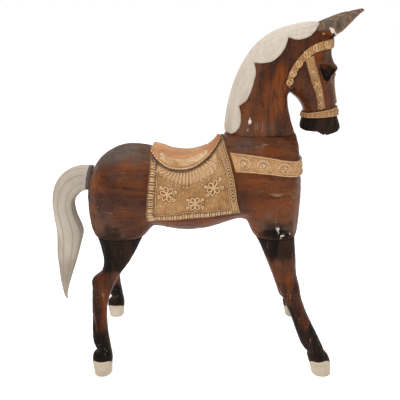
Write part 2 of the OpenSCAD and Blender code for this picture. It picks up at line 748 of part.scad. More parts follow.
// A patch laid on one side of the head: rows of spots that run upwards, each from front to rear.
module cheek_patch(rows, side, t) {
    function ordered(r) = side == left ? r : [for (i = [len(r) - 1:-1:0]) r[i]];
    slab(
        [for (r = rows) [for (spot = ordered(r)) on_cheek(spot, side, bed + t)]],
        [for (r = rows) [for (spot = ordered(r)) on_cheek(spot, side, bed)]]
    );
}
module cheek_strap(side) {
    color(gold)
        cheek_patch(
            [for (u = steps(0, 2.95, 12))
                let (f = smooth(CHEEK_FRONT, u), r = smooth(CHEEK_REAR, u))
                [for (t = steps(0, 1, 4)) [between(f[1], r[1], t), between(f[2], r[2], t)]]],
            side, strap_t
        );
}
module face_strap() {
    color(gold)
        dressing(
            head_skin,
            [for (u = steps(3.12, 4.6, 6)) [for (a = steps(-14, 14, 4)) [u, a]]],
            bed, bed + strap_t
        );
}
module noseband() {
    m = 24;
    color(gold)
        difference() {
            loft([for (u = [2.3, 2.65, 3]) [for (a = around(m)) lifted(head_skin, u, a, bed + strap_t)]]);
            loft([for (u = [2.2, 2.65, 3.1]) [for (a = around(m)) lifted(head_skin, u, a, bed)]]);
        }
}
module eye(side) {
    function spot(t, w) = between(between(EYE_LOW[1], EYE_TOP[1], t), between(EYE_LOW[0], EYE_TOP[0], t), w);
    color(black)
        cheek_patch([for (t = steps(0, 1, 4)) [for (w = steps(0, 1, 4)) spot(t, w)]], side, eye_t);
}

barrel();
neck();
head();
mane();
ear(right);  // ear_right
ear(left);  // ear_left
leg(LEG_FRONT, right);  // leg_front_right
leg(LEG_FRONT_LEFT, left);  // leg_front_left
leg(LEG_REAR, right);  // leg_rear_right
leg(LEG_REAR_LEFT, left);  // leg_rear_left
hoof(LEG_FRONT, right);  // hoof_front_right
hoof(LEG_FRONT_LEFT, left);  // hoof_front_left
hoof(LEG_REAR, right);  // hoof_rear_right
hoof(LEG_REAR_LEFT, left);  // hoof_rear_left
leg_dowels();
neck_dowels();
head_dowel();
ear_pegs();
tail();
tail_peg();
tail_collar();
saddle_seat();
seat_rim(right);  // seat_rim_right
seat_rim(left);  // seat_rim_left
seat_beads(right);  // seat_beads_right
seat_beads(left);  // seat_beads_left
blanket();
blanket_border(right);  // blanket_border_right
blanket_border(left);  // blanket_border_left
fan_rays(right);  // fan_rays_right
fan_rays(left);  // fan_rays_left
rosettes(right);  // rosettes_right
rosettes(left);  // rosettes_left
breast_band();
breast_scrolls(right);  // breast_scrolls_right
breast_scrolls(left);  // breast_scrolls_left
crown_strap();
crown_studs(right);  // crown_studs_right
crown_studs(left);  // crown_studs_left
cheek_strap(right);  // cheek_strap_right
cheek_strap(left);  // cheek_strap_left
face_strap();
noseband();
eye(right);  // eye_right
eye(left);  // eye_left
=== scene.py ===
import math

import bpy
import numpy as np
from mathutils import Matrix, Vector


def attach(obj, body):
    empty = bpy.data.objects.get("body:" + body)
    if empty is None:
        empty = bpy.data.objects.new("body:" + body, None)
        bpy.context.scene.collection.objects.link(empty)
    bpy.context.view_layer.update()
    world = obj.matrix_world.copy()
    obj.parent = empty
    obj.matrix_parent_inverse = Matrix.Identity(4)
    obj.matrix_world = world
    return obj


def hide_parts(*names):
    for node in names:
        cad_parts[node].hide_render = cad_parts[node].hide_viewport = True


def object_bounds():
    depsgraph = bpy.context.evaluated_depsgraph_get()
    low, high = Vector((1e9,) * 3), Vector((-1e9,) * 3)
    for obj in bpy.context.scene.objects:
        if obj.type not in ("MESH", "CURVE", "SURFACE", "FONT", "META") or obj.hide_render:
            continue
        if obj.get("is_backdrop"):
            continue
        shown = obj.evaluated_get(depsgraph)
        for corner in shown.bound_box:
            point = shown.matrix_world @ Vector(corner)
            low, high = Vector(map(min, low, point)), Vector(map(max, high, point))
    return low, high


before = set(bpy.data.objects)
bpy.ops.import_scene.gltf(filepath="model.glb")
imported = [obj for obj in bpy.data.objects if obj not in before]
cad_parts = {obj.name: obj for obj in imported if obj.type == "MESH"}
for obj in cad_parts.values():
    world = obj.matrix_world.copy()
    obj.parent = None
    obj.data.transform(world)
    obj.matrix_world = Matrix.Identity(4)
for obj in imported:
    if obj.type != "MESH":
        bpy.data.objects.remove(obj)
cad_low, cad_high = (list(v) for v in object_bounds())

# ---- Body block -------------------------------------------------------------------------------
# One block of stained hardwood: rump, barrel, shoulders and chest, carved with a gouge and waxed.
# The neck and the legs are butted to its flat top and bottom, and its underside is hollowed.

# The carving is drawn in millimetres at this size and stretched to the frame.
DRAWN_SIZE = np.array([586.0, 230.0, 706.0])
STRETCH = (np.array(cad_high) - np.array(cad_low)) / DRAWN_SIZE
LEG_SEAM = 300.0
NECK_SEAM = 495.0
RIGHT = -1
LEFT = 1

# x, height of the widest line, rise above it, drop below it, half width, squareness of the section.
TRUNK = np.array([
    [-206, 356, 12, 14, 12, 2.0], [-202.5, 358, 38, 40, 36, 2.1], [-195, 362, 57, 68, 54, 2.2],
    [-184, 368, 71, 98, 67, 2.5], [-165, 374, 81, 122, 78, 2.7], [-140, 378, 88, 126, 83, 2.7],
    [-112, 380, 89, 100, 84, 2.5], [-95, 380, 88, 74, 85, 2.3], [-70, 380, 82, 69, 85, 2.2],
    [-40, 380, 72, 76, 84, 2.2], [-5, 380, 69, 80, 83, 2.2], [30, 381, 77, 77, 82, 2.2],
    [50, 382, 93, 72, 81, 2.1], [66, 383, 113, 66, 80, 2.1], [95, 384, 124, 60, 79, 2.1],
    [118, 385, 128, 74, 79, 2.2], [135, 385, 129, 106, 79, 2.4], [160, 384, 125, 126, 78, 2.6],
    [180, 380, 118, 120, 73, 2.5], [194, 374, 122, 98, 65, 2.3], [204.5, 368, 84, 75, 50, 2.2],
    [212, 364, 47, 44, 30, 2.1], [216, 364, 14, 14, 10, 2.0],
])

# The legs, from the floor up: height, front point x z, rear point x z, middle y, half width,
# squareness of the section.
LEG_REAR = np.array([
    [0, -173, 0, -209, 0, 98, 17, 2.3], [30, -170, 30, -211, 30, 95, 18, 2.3],
    [46, -170, 46, -209, 46, 94, 17, 2.3], [56, -171, 56, -200, 56, 93, 14, 2.3],
    [78, -173, 78, -207, 78, 90, 15, 2.3], [100, -175, 100, -207, 100, 87, 14, 2.2],
    [135, -175, 135, -205, 135, 82, 13, 2.2], [165, -171, 165, -204, 165, 77, 14, 2.2],
    [195, -159, 195, -202, 195, 71, 17, 2.2], [212, -150, 212, -201, 212, 67, 19, 2.2],
    [228, -140, 228, -183, 228, 63, 20, 2.2], [250, -124, 250, -177, 250, 58, 23, 2.2],
    [275, -109, 275, -180, 275, 53, 25, 2.3], [300, -97, 300, -186, 300, 49, 27, 2.4],
])
LEG_FRONT = np.array([
    [0, 293, 0, 253, 0, 98, 17, 2.3], [30, 289, 30, 244, 30, 95, 18, 2.3],
    [42, 284, 42, 240, 42, 94, 17, 2.3], [52, 276, 52, 240, 52, 93, 14, 2.3],
    [66, 270, 66, 228, 66, 91, 15, 2.3], [100, 253, 100, 213, 100, 86, 15, 2.2],
    [130, 238, 130, 202, 130, 81, 15, 2.2], [155, 227, 155, 191, 155, 77, 16, 2.2],
    [175, 220, 175, 181, 175, 73, 18, 2.2], [198, 215, 198, 169, 198, 69, 19, 2.2],
    [228, 208, 228, 157, 228, 62, 21, 2.2], [254, 206, 254, 146, 254, 57, 23, 2.2],
    [280, 203, 280, 135, 280, 52, 24, 2.3], [300, 201, 300, 124, 300, 48, 25, 2.4],
])


def along(table, u):
    """Rows of a table at u: a cubic Hermite curve through its rows, each slope taken from the
    rows before and after it."""
    keys = table[:, 0]
    back = np.maximum(np.arange(len(keys)) - 1, 0)
    ahead = np.minimum(np.arange(len(keys)) + 1, len(keys) - 1)
    slopes = (table[ahead] - table[back]) / (keys[ahead] - keys[back])[:, None]
    u = np.asarray(u, float)
    i = np.clip(np.searchsorted(keys, u, side="right") - 1, 0, len(keys) - 2)
    h = (keys[i + 1] - keys[i])[..., None]
    t = (u - keys[i])[..., None] / h
    a, b = table[i], table[i + 1]
    return ((2 * t**3 - 3 * t**2 + 1) * a + (t**3 - 2 * t**2 + t) * h * slopes[i]
            + (3 * t**2 - 2 * t**3) * b + (t**3 - t**2) * h * slopes[i + 1])


def spow(v, e):
    """The size of v raised to the power e, with v's own sign."""
    return np.sign(v) * np.abs(v) ** e


def ease(low, high, v):
    """0 below low, 1 above high, and 3t^2 - 2t^3 between them."""
    t = np.clip((v - low) / (high - low), 0, 1)
    return t * t * (3 - 2 * t)


def noise(p, size, seed=0):
    """Smooth noise from -1 to 1 at points p, one lump about every size millimetres: each corner of
    a cubic lattice has a value from a hash of its place, and they are mixed by eased fractions."""
    q = p / size + seed * 17.31
    base = np.floor(q)
    f = q - base
    f = f * f * (3 - 2 * f)
    total = np.zeros(p.shape[:-1])
    for corner in np.ndindex(2, 2, 2):
        c = base + corner
        h = np.sin(c @ np.array([127.1, 311.7, 74.7]) + seed) * 43758.5453
        share = np.prod(np.where(np.array(corner) == 1, f, 1 - f), axis=-1)
        total += share * (h - np.floor(h))
    return total * 2 - 1


def gouge(p, size, seed=0):
    """Flat gouge cuts: each point takes the height of its nearest lattice lump, which dips in the
    middle of the cut and rises to a low ridge between two cuts. 0 in the middle, 1 on the ridge."""
    q = p / size
    base = np.floor(q)
    first = np.full(p.shape[:-1], 9.0)
    second = np.full(p.shape[:-1], 9.0)
    for step in np.ndindex(3, 3, 3):
        c = base + np.array(step) - 1
        jitter = np.sin(c @ np.array([[12.9, 78.2, 37.7], [39.3, 11.1, 83.1], [73.1, 52.2, 9.1]])
                        + seed) * 43758.5453
        d = np.linalg.norm(c + 0.5 + 0.6 * (jitter - np.floor(jitter) - 0.5) - q, axis=-1)
        second = np.minimum(second, np.maximum(first, d))
        first = np.minimum(first, d)
    return 1 - np.clip((second - first) / 0.5, 0, 1)


def trunk_skin(x, a):
    """A point of the block at x and angle a: a superellipse across the block, half width and rise
    or drop from the table, with a from the left side over the back (degrees)."""
    s = along(TRUNK, x)
    a = np.radians(a)
    height = np.where(np.sin(a) >= 0, s[..., 2], s[..., 3])
    y = s[..., 4] * spow(np.cos(a), 2 / s[..., 5])
    z = s[..., 1] + height * spow(np.sin(a), 2 / s[..., 5])
    return np.stack([x + 0 * z, y, z], -1)


def normals_of(grid, closed):
    """Unit normals of a grid of points, from the cross product of its two central differences."""
    if closed:
        around = np.roll(grid, -1, 1) - np.roll(grid, 1, 1)
    else:
        around = np.gradient(grid, axis=1)
    n = np.cross(around, np.gradient(grid, axis=0))
    return n / np.maximum(np.linalg.norm(n, axis=-1, keepdims=True), 1e-9)


def grid_faces(rows, columns, closed, start=0):
    """Quads between the rows and columns of a grid. A closed grid's last column joins its first."""
    i, j = np.meshgrid(np.arange(rows - 1), np.arange(columns if closed else columns - 1),
                       indexing="ij")
    k = (j + 1) % columns
    quads = np.stack([i * columns + j, i * columns + k, (i + 1) * columns + k, (i + 1) * columns + j],
                     -1)
    return quads.reshape(-1, 4) + start


def make_piece(name, points, quads, caps=(), tints=None):
    """A mesh object from points in drawn millimetres, quads, polygon caps and vertex tints."""
    mesh = bpy.data.meshes.new(name)
    place = points * STRETCH
    counts = [4] * len(quads) + [len(c) for c in caps]
    loops = np.concatenate([quads.ravel()] + [np.asarray(c) for c in caps]).astype(np.int32)
    mesh.vertices.add(len(place))
    mesh.vertices.foreach_set("co", place.astype(np.float32).ravel())
    mesh.loops.add(len(loops))
    mesh.loops.foreach_set("vertex_index", loops)
    mesh.polygons.add(len(counts))
    mesh.polygons.foreach_set("loop_start", np.concatenate([[0], np.cumsum(counts)[:-1]]))
    mesh.polygons.foreach_set("use_smooth", np.full(len(counts), True))
    mesh.update(calc_edges=True)
    mesh.validate()
    for key, value in (tints or {}).items():
        layer = mesh.attributes.new(key, "FLOAT", "POINT")
        layer.data.foreach_set("value", np.asarray(value, np.float32).ravel())
    piece = bpy.data.objects.new(name, mesh)
    bpy.context.scene.collection.objects.link(piece)
    return piece


def ring_caps(rows, columns, start=0):
    """The polygons that close the first and the last ring of a grid, both facing outwards."""
    return [start + np.arange(columns)[::-1], start + (rows - 1) * columns + np.arange(columns)]


def ringed_piece(name, grid, tints):
    """A closed piece through a grid of rings, capped at both ends."""
    rows, columns = grid.shape[:2]
    return make_piece(name, grid.reshape(-1, 3), grid_faces(rows, columns, True),
                      ring_caps(rows, columns), tints)


def mirrored(p):
    """The points with their y made positive, so that one zone serves both sides."""
    return np.stack([p[..., 0], np.abs(p[..., 1]), p[..., 2]], -1)


def fit(piece, material, body, slot, *nodes):
    """Gives a piece its finish and its body, and hides the nodes it stands for. slot is not used."""
    piece.data.materials.append(material)
    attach(piece, body)
    if nodes:
        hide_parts(*nodes)
    return piece


class Shader:
    """A short way to write a node material: each call adds a node and links its inputs."""

    def __init__(self, name):
        self.material = bpy.data.materials.new(name)
        self.material.use_nodes = True
        self.tree = self.material.node_tree
        self.tree.nodes.clear()
        self.out = self.node("ShaderNodeOutputMaterial")
        self.skin = self.node("ShaderNodeBsdfPrincipled")
        self.tree.links.new(self.skin.outputs[0], self.out.inputs[0])
        self.place = self.node("ShaderNodeTexCoord").outputs["Object"]

    def node(self, kind, **settings):
        made = self.tree.nodes.new(kind)
        for key, value in settings.items():
            setattr(made, key, value)
        return made

    def put(self, value, socket):
        if isinstance(value, bpy.types.NodeSocket):
            self.tree.links.new(value, socket)
        elif isinstance(value, tuple) and len(value) == 3 and len(socket.default_value) == 4:
            socket.default_value = (*value, 1)
        else:
            socket.default_value = value

    def tint(self, name):
        return self.node("ShaderNodeAttribute", attribute_name=name).outputs["Fac"]

    def stretched(self, scale):
        n = self.node("ShaderNodeMapping")
        self.put(self.place, n.inputs["Vector"])
        n.inputs["Scale"].default_value = scale
        return n.outputs[0]

    def cloud(self, scale, detail=4.0, rough=0.55, at=None, warp=0.0):
        n = self.node("ShaderNodeTexNoise")
        self.put(at or self.place, n.inputs["Vector"])
        n.inputs["Scale"].default_value = scale
        n.inputs["Detail"].default_value = detail
        n.inputs["Roughness"].default_value = rough
        n.inputs["Distortion"].default_value = warp
        return n.outputs["Fac"]

    def bend(self, value, low, high, to_low=0.0, to_high=1.0):
        n = self.node("ShaderNodeMapRange", interpolation_type="SMOOTHSTEP")
        self.put(value, n.inputs["Value"])
        for key, v in (("From Min", low), ("From Max", high), ("To Min", to_low), ("To Max", to_high)):
            n.inputs[key].default_value = v
        return n.outputs[0]

    def sum(self, kind, a, b):
        n = self.node("ShaderNodeMath", operation=kind)
        self.put(a, n.inputs[0])
        self.put(b, n.inputs[1])
        return n.outputs[0]

    def blend(self, share, a, b):
        n = self.node("ShaderNodeMix", data_type="RGBA")
        self.put(share, n.inputs["Factor"])
        self.put(a, n.inputs["A"])
        self.put(b, n.inputs["B"])
        return n.outputs["Result"]

    def coat(self, under, value, low, high, colour, most=1.0):
        """A colour laid over the last one where value rises from low to high, most at the most."""
        return self.blend(self.bend(value, low, high, 0, most), under, colour)

    def finish(self, colour, roughness, height=None, depth=0.0005, strength=0.6):
        self.put(colour, self.skin.inputs["Base Color"])
        self.put(roughness, self.skin.inputs["Roughness"])
        if height is not None:
            n = self.node("ShaderNodeBump")
            n.inputs["Distance"].default_value = depth
            n.inputs["Strength"].default_value = strength
            self.put(height, n.inputs["Height"])
            self.put(n.outputs[0], self.skin.inputs["Normal"])
        return self.material


def stained_wood(name, grain):
    """Stained and waxed wood: long grain streaks from stretched noise, a warm tone that is partly a painted
    warm highlight, dark patches, small painted glints, black paint and painted shade, dust and a painted
    grey sheen, and scuffed zones from the piece's tints, and bare flecks where the tint is strong.
    grain is the scale of the noise along x, y and z."""
    s = Shader(name)
    lengthwise = s.stretched(grain)
    streak = s.cloud(34, 6, 0.62, lengthwise, 0.6)
    fine = s.cloud(150, 3, 0.6, lengthwise)
    patch = s.cloud(9, 4, 0.6, warp=0.4)
    speck = s.cloud(260, 3, 0.65)
    colour = s.blend(s.bend(streak, 0.38, 0.64), (0.034, 0.012, 0.007), (0.118, 0.039, 0.016))
    colour = s.coat(colour, patch, 0.42, 0.62, (0.026, 0.011, 0.008), 0.92)
    # A warm orange tone, partly at random and partly a painted warm highlight in the zones of its tint.
    warm_tone_and_highlight = s.sum("MULTIPLY", s.tint("warm_tone_and_highlight"), s.bend(s.cloud(22, 4, 0.6, lengthwise, 0.5), 0.3, 0.62))
    colour = s.blend(warm_tone_and_highlight, colour, (0.165, 0.041, 0.007))
    colour = s.coat(colour, fine, 0.52, 0.68, (0.014, 0.006, 0.004), 0.6)
    # Painted glints: small pale flecks, fewer in the dark patches.
    glint = s.sum("MULTIPLY", s.bend(speck, 0.54, 0.66, 0, 0.35), s.bend(patch, 0.62, 0.40))
    colour = s.blend(glint, colour, (0.175, 0.085, 0.045))
    # Grey where the dust tint is high: dust, and a painted sheen on the faces that turn up to the light.
    grey_dust_and_sheen = s.sum("MULTIPLY", s.tint("dust_and_sheen"), s.bend(s.cloud(30, 5, 0.7), 0.3, 0.6))
    colour = s.blend(grey_dust_and_sheen, colour, (0.095, 0.076, 0.062))
    colour = s.coat(colour, s.tint("ridge"), 0.6, 1.0, (0.15, 0.062, 0.028), 0.1)
    # Near black where the tint is high: black paint, and painted shade under the body and between parts.
    black_and_shade = s.sum("ADD", s.tint("black_and_shade"), s.bend(s.cloud(38, 5, 0.7, lengthwise), 0.25, 0.75, -0.25, 0.25))
    black_and_shade = s.sum("MULTIPLY", s.bend(black_and_shade, 0.15, 0.75), s.bend(s.tint("black_and_shade"), 0.02, 0.1))
    near_black = s.blend(s.bend(streak, 0.42, 0.62), (0.007, 0.005, 0.004), (0.027, 0.014, 0.009))
    colour = s.blend(black_and_shade, colour, near_black)
    scratches = s.cloud(60, 6, 0.75, lengthwise, 0.8)
    scuff = s.sum("ADD", s.tint("scuffed"), s.bend(scratches, 0.3, 0.7, -0.5, 0.5))
    colour = s.coat(colour, scuff, 0.56, 0.82, (0.25, 0.135, 0.078), 0.75)
    chip = s.sum("ADD", s.tint("chipped"), s.bend(s.cloud(120, 4, 0.7), 0.3, 0.7, -0.35, 0.35))
    chipped = s.bend(chip, 0.72, 0.82)
    colour = s.blend(chipped, colour, (0.62, 0.52, 0.41))
    colour = s.coat(colour, s.tint("limed"), 0.4, 0.6, (0.50, 0.415, 0.31))
    rough = s.sum("ADD", s.bend(streak, 0.3, 0.7, 0.33, 0.46), s.bend(speck, 0.4, 0.7, 0, 0.10))
    rough = s.sum("ADD", rough, s.sum("MULTIPLY", s.tint("dust_and_sheen"), 0.28))
    rough = s.sum("ADD", rough, s.sum("MULTIPLY", chipped, 0.3))
    height = s.sum("ADD", s.sum("MULTIPLY", streak, 0.7), s.sum("MULTIPLY", fine, 0.5))
    height = s.sum("SUBTRACT", height, s.sum("MULTIPLY", chipped, 0.6))
    dull = s.sum("MAXIMUM", black_and_shade, s.tint("dust_and_sheen"))
    s.put(s.bend(dull, 0, 0.9, 0.10, 0.04), s.skin.inputs["Specular IOR Level"])
    return s.finish(colour, rough, height, 0.0010, 0.9)


def blob(p, centre, radii):
    """1 at the centre of an ellipsoid, falling to 0 at its skin."""
    return 1 - ease(0.35, 1.0, np.linalg.norm((p - np.array(centre)) / np.array(radii), axis=-1))


def zones(p, *spots):
    """A sum of soft ellipsoids at points p. Each spot is its strength, its centre and its radii."""
    return sum(strength * blob(p, place[:3], place[3:]) for strength, *place in spots)


def wood_tints(p, n, cuts):
    """The zones of the stain, of black paint, of painted shade and of a painted sheen at points p with
    normals n, in drawn millimetres. cuts is the gouge marks' height."""
    x, z = p[..., 0], p[..., 2]
    near = mirrored(p)
    lumps = noise(p, 30, 3)
    # Painted shade: dark zones under the body, over the tops of the rear and front legs and low on the
    # haunch and the shoulder.
    black_and_shade = zones(near, (0.95, -150, 60, 276, 70, 70, 54), (0.5, -150, 78, 326, 26, 30, 26))
    black_and_shade += zones(near, (0.42, 165, 66, 292, 70, 60, 52), (0.45, 168, 70, 334, 62, 40, 40))
    # A painted grey sheen on the top of the rump where it faces up, and grey zones of dust and sheen on the
    # rear, the haunch, the shoulder and the front of the back.
    dust_and_sheen = 0.95 * ease(0.55, 0.95, n[..., 2]) * ease(-60, -110, x) * ease(425, 450, z)
    dust_and_sheen += zones(near, (0.9, 172, 74, 330, 62, 34, 44)) + 0.5 * ease(-186, -202, x)
    dust_and_sheen += zones(near, (0.5, -160, 80, 320, 44, 30, 26), (0.6, 92, 58, 485, 44, 30, 22))
    scuffed = zones(near, (0.55, -165, 78, 366, 34, 26, 44), (0.50, 172, 78, 392, 50, 30, 26))
    scuffed += zones(near, (0.35, 150, 70, 486, 80, 40, 26), (0.50, 178, 76, 334, 50, 30, 34))
    # A warm tone at random, with a painted warm highlight under the belly and low on the rear of the rump.
    warm_tone_and_highlight = 0.55 + 0.5 * lumps + 0.5 * blob(near, (30, 60, 306), (110, 60, 26)) * (z < 345)
    warm_tone_and_highlight += zones(near, (0.6, -190, 60, 352, 26, 40, 30))
    chipped = zones(near, (0.62, 180, 76, 322, 50, 30, 36), (0.45, -176, 74, 330, 26, 30, 26))
    off = p - TAIL_SEAT
    out = off @ TAIL_AXIS
    ring = ease(31, 27, np.linalg.norm(off - out[..., None] * TAIL_AXIS, axis=-1)) * (x < -170)
    black_and_shade = np.maximum(black_and_shade, 1.3 * ring)
    dust_and_sheen = dust_and_sheen * (1 - ring)
    return {"black_and_shade": black_and_shade, "dust_and_sheen": dust_and_sheen, "scuffed": scuffed, "warm_tone_and_highlight": np.clip(warm_tone_and_highlight, 0, 1),
            "chipped": chipped, "ridge": cuts}


# The tail plugs in here: middle of the round flat seat, and the way out along the peg.
TAIL_TILT = math.radians(12)
TAIL_AXIS = np.array([-math.cos(TAIL_TILT), 0, math.sin(TAIL_TILT)])
TAIL_SEAT = np.array([-198.5, 0, 403])
SEAT_R = 22.0
BORE_R = 10.5
BORE_DEPTH = 50.0


def body_block(rows=230, columns=300):
    """The trunk's skin, cut flat at the two seams and drawn down to the top of each leg, hollowed
    between the legs by a low arch, with gouge cuts and slow waves, a flat round seat and a bore
    where the tail plugs in."""
    t = np.linspace(0, 1, rows)
    # The rings stand closer together towards both ends.
    x = TRUNK[0, 0] + (TRUNK[-1, 0] - TRUNK[0, 0]) * (t - 0.045 * np.sin(2 * np.pi * t))
    a = (np.arange(columns) + 0.5) * 360 / columns
    grid = trunk_skin(x[:, None], a[None, :] + 0 * x[:, None])
    n = normals_of(grid, True)
    cuts = gouge(grid * [0.55, 1, 1], 17, 1)
    cut = (grid[..., 2] <= LEG_SEAM + 2) | (grid[..., 2] >= NECK_SEAM - 2)
    deep = 0.9 * cuts - 1.0 + 1.3 * noise(grid, 46, 2) + 0.35 * noise(grid, 9, 5)
    grid = grid + n * (deep * ~cut)[..., None]
    across = np.abs(grid[..., 1])
    arch = 34 * np.clip(1 - (across / 26) ** 2, 0, 1) + 5 * ease(84, 60, across) * (across > 26)
    floor = LEG_SEAM + np.where(across < 26, arch, 0)
    for top in (LEG_REAR[-1], LEG_FRONT[-1]):
        off = np.hypot((grid[..., 0] - (top[1] + top[3]) / 2) / (top[1] - top[3]) * 2,
                       (across - top[5]) / top[6])
        pull = ease(1.55, 0.95, off) * (grid[..., 2] < 372)
        grid[..., 2] = grid[..., 2] * (1 - pull) + LEG_SEAM * pull
    grid[..., 2] = np.minimum(np.maximum(grid[..., 2], floor), NECK_SEAM)
    off = grid - TAIL_SEAT
    out = off @ TAIL_AXIS
    radius = np.linalg.norm(off - out[..., None] * TAIL_AXIS, axis=-1)
    near_tail = (radius < SEAT_R) & (out > -12)
    shift = np.where(near_tail & (radius < BORE_R), -BORE_DEPTH - out,
                     np.where(near_tail, np.minimum(0, -out), 0))
    grid = grid + shift[..., None] * TAIL_AXIS
    return grid, n, cuts


grid, n, cuts = body_block()
body = ringed_piece("body_block", grid, wood_tints(grid, n, cuts))
fit(body, stained_wood("waxed_body_wood", (0.12, 1.0, 1.0)), "horse", "brown_wood", "barrel")

# ---- Camera, floor and light -----------------------------------------------------------------
# A plain white floor and soft light from above and both sides, and a lens at eye height.
LENS_PLACE = (0.015, -0.756, 0.657)
LENS_TILT = math.radians(68.2)

floor_mesh = bpy.data.meshes.new("studio_floor")
floor_mesh.from_pydata([(-30, -30, 0), (30, -30, 0), (30, 30, 0), (-30, 30, 0)], [], [(0, 1, 2, 3)])
floor = bpy.data.objects.new("studio_floor", floor_mesh)
bpy.context.scene.collection.objects.link(floor)
s = Shader("white_floor")
s.skin.inputs["Emission Color"].default_value = (1, 1, 1, 1)
s.skin.inputs["Emission Strength"].default_value = 0.5
floor_mesh.materials.append(s.finish((0.9, 0.9, 0.9), 0.9))
floor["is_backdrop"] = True

world = bpy.data.worlds.new("studio")
world.use_nodes = True
# White behind the horse, and dimmer where the room is, on the side of the lens and overhead.
nodes, links = world.node_tree.nodes, world.node_tree.links
way = nodes.new("ShaderNodeSeparateXYZ")
links.new(nodes.new("ShaderNodeTexCoord").outputs["Generated"], way.inputs[0])
dim = nodes.new("ShaderNodeMapRange")
dim.inputs["From Min"].default_value = -0.3
dim.inputs["From Max"].default_value = 0.6
dim.inputs["To Min"].default_value = 0.32
dim.inputs["To Max"].default_value = 1.0
links.new(way.outputs["Y"], dim.inputs["Value"])
nodes["Background"].inputs["Color"].default_value = (1, 1, 1, 1)
links.new(dim.outputs[0], nodes["Background"].inputs["Strength"])
bpy.context.scene.world = world
bpy.context.scene.view_settings.view_transform = "Standard"


def soft_light(name, place, aim, size, power):
    """A square lamp at a place, turned to face a point."""
    lamp = bpy.data.lights.new(name, "AREA")
    lamp.size = size
    lamp.energy = power
    holder = bpy.data.objects.new(name, lamp)
    holder.location = place
    gaze = np.array(aim) - np.array(place)
    holder.rotation_euler = (math.acos(-gaze[2] / np.linalg.norm(gaze)), 0,
                             math.atan2(gaze[1], gaze[0]) - math.pi / 2)
    bpy.context.scene.collection.objects.link(holder)


soft_light("key", (-0.9, -1.6, 1.9), (0, 0, 0.35), 1.1, 30)
soft_light("fill", (1.8, -0.9, 1.2), (0, 0, 0.35), 1.4, 9)
soft_light("top", (0.1, 0.5, 2.3), (0, 0, 0.3), 1.6, 22)

lens = bpy.data.cameras.new("camera")
lens.sensor_width = 36
lens.lens = 36
camera = bpy.data.objects.new("camera", lens)
camera.location = LENS_PLACE
camera.rotation_euler = (LENS_TILT, 0, 0)
bpy.context.scene.collection.objects.link(camera)
bpy.context.scene.camera = camera

# ---- Neck -------------------------------------------------------------------------------------
# The neck is one upright block, butted and dowelled on the body at a seam that shows as a hairline.

# step, front point x z, rear point x z, middle y, half width, squareness of the section.
NECK = np.array([
    [0, 194, 495, 66, 495, 0, 47, 2.2], [1, 186, 517, 66, 517, 0, 45, 2.2],
    [2, 180, 538, 72, 553, 0, 43, 2.2], [3, 177, 552, 81, 587, 0, 40, 2.2],
    [4, 176, 559, 96, 620, 0, 37, 2.2], [5, 176, 562.5, 118, 649, 0, 35, 2.2],
    [6, 177, 565, 147, 669, 0, 33, 2.2], [7, 178, 566.5, 181, 679, 0, 32, 2.3],
    [8, 179, 568, 212, 683, 0, 31, 2.3],
])


def pair_skin(table, u, a):
    """A point of a carved piece at step u and angle a: a superellipse between the front and rear
    points of the table's row, with a from the front point over the left side (degrees)."""
    s = along(table, u)
    a = np.radians(a)
    c = spow(np.cos(a), 2 / s[..., 7])
    x = (s[..., 1] + s[..., 3]) / 2 + (s[..., 1] - s[..., 3]) / 2 * c
    z = (s[..., 2] + s[..., 4]) / 2 + (s[..., 2] - s[..., 4]) / 2 * c
    y = s[..., 5] + s[..., 6] * spow(np.sin(a), 2 / s[..., 7])
    return np.stack([x, y, z], -1)


def carve(grid, size, depth, seed, keep=None):
    """Gouge cuts and slow waves on a closed grid of points, depth deep, with none where keep is 0.
    Gives the new grid, its normals and the height of the cuts."""
    n = normals_of(grid, True)
    cuts = gouge(grid, size, seed)
    deep = depth * (0.6 * cuts - 0.8 + 0.7 * noise(grid, 3 * size, seed) + 0.25 * noise(grid, 8, seed))
    if keep is not None:
        deep = deep * keep
    return grid + n * deep[..., None], n, cuts


def carved_piece(name, grid, n, cuts, extra=None):
    """A closed piece through a grid of rings, with the tints of stain, black paint, painted shade and
    painted sheen, and what extra adds to them.
    """
    tints = wood_tints(grid, n, cuts)
    for key, value in (extra or {}).items():
        tints[key] = tints.get(key, 0) + value
    return ringed_piece(name, grid, tints)


def seam_vee(grid, rows=2, inset=0.985):
    """Draws the first rows of a closed grid in towards their middle, for a hairline at a seam."""
    middle = grid[:1].mean(1, keepdims=True)
    grid[:rows, :, :2] = middle[..., :2] + (grid[:rows, :, :2] - middle[..., :2]) * inset
    return grid


u = np.concatenate([[0, 0.03], np.linspace(0.06, 8, 150)])
a = (np.arange(180) + 0.5) * 2
grid = pair_skin(NECK, u[:, None], a[None, :] + 0 * u[:, None])
grid, n, cuts = carve(grid, 13, 0.8, 7, ease(0, 0.3, u)[:, None] * ease(8, 7.6, u)[:, None])
grid = seam_vee(grid)
near = mirrored(grid)
# On the neck, the warm zones are a painted highlight, and the dark zone at the throat under the jaw is
# painted shade.
extra = {
    "warm_tone_and_highlight": zones(near, (0.75, 150, 40, 575, 34, 30, 56), (0.4, 130, 40, 530, 36, 30, 30)),
    "scuffed": zones(near, (0.40, 120, 46, 512, 60, 24, 18), (0.3, 150, 44, 540, 20, 20, 16)),
    "chipped": (0.95 + 0.3 * noise(grid, 5, 2)) * blob(grid, (104, -46, 521), (5, 14, 16))
    + zones(grid, (0.75, 99, -46, 508, 5, 14, 6), (0.5, 110, -46, 500, 14, 14, 5)),
    "dust_and_sheen": zones(near, (0.35, 110, 46, 510, 60, 30, 24)),
    "black_and_shade": zones(near, (0.45, 178, 20, 566, 14, 40, 22)),
}
neck_wood = stained_wood("waxed_upright_wood", (1.0, 1.0, 0.12))
fit(carved_piece("neck_block", grid, n, cuts, extra), neck_wood, "horse", "brown_wood", "neck")

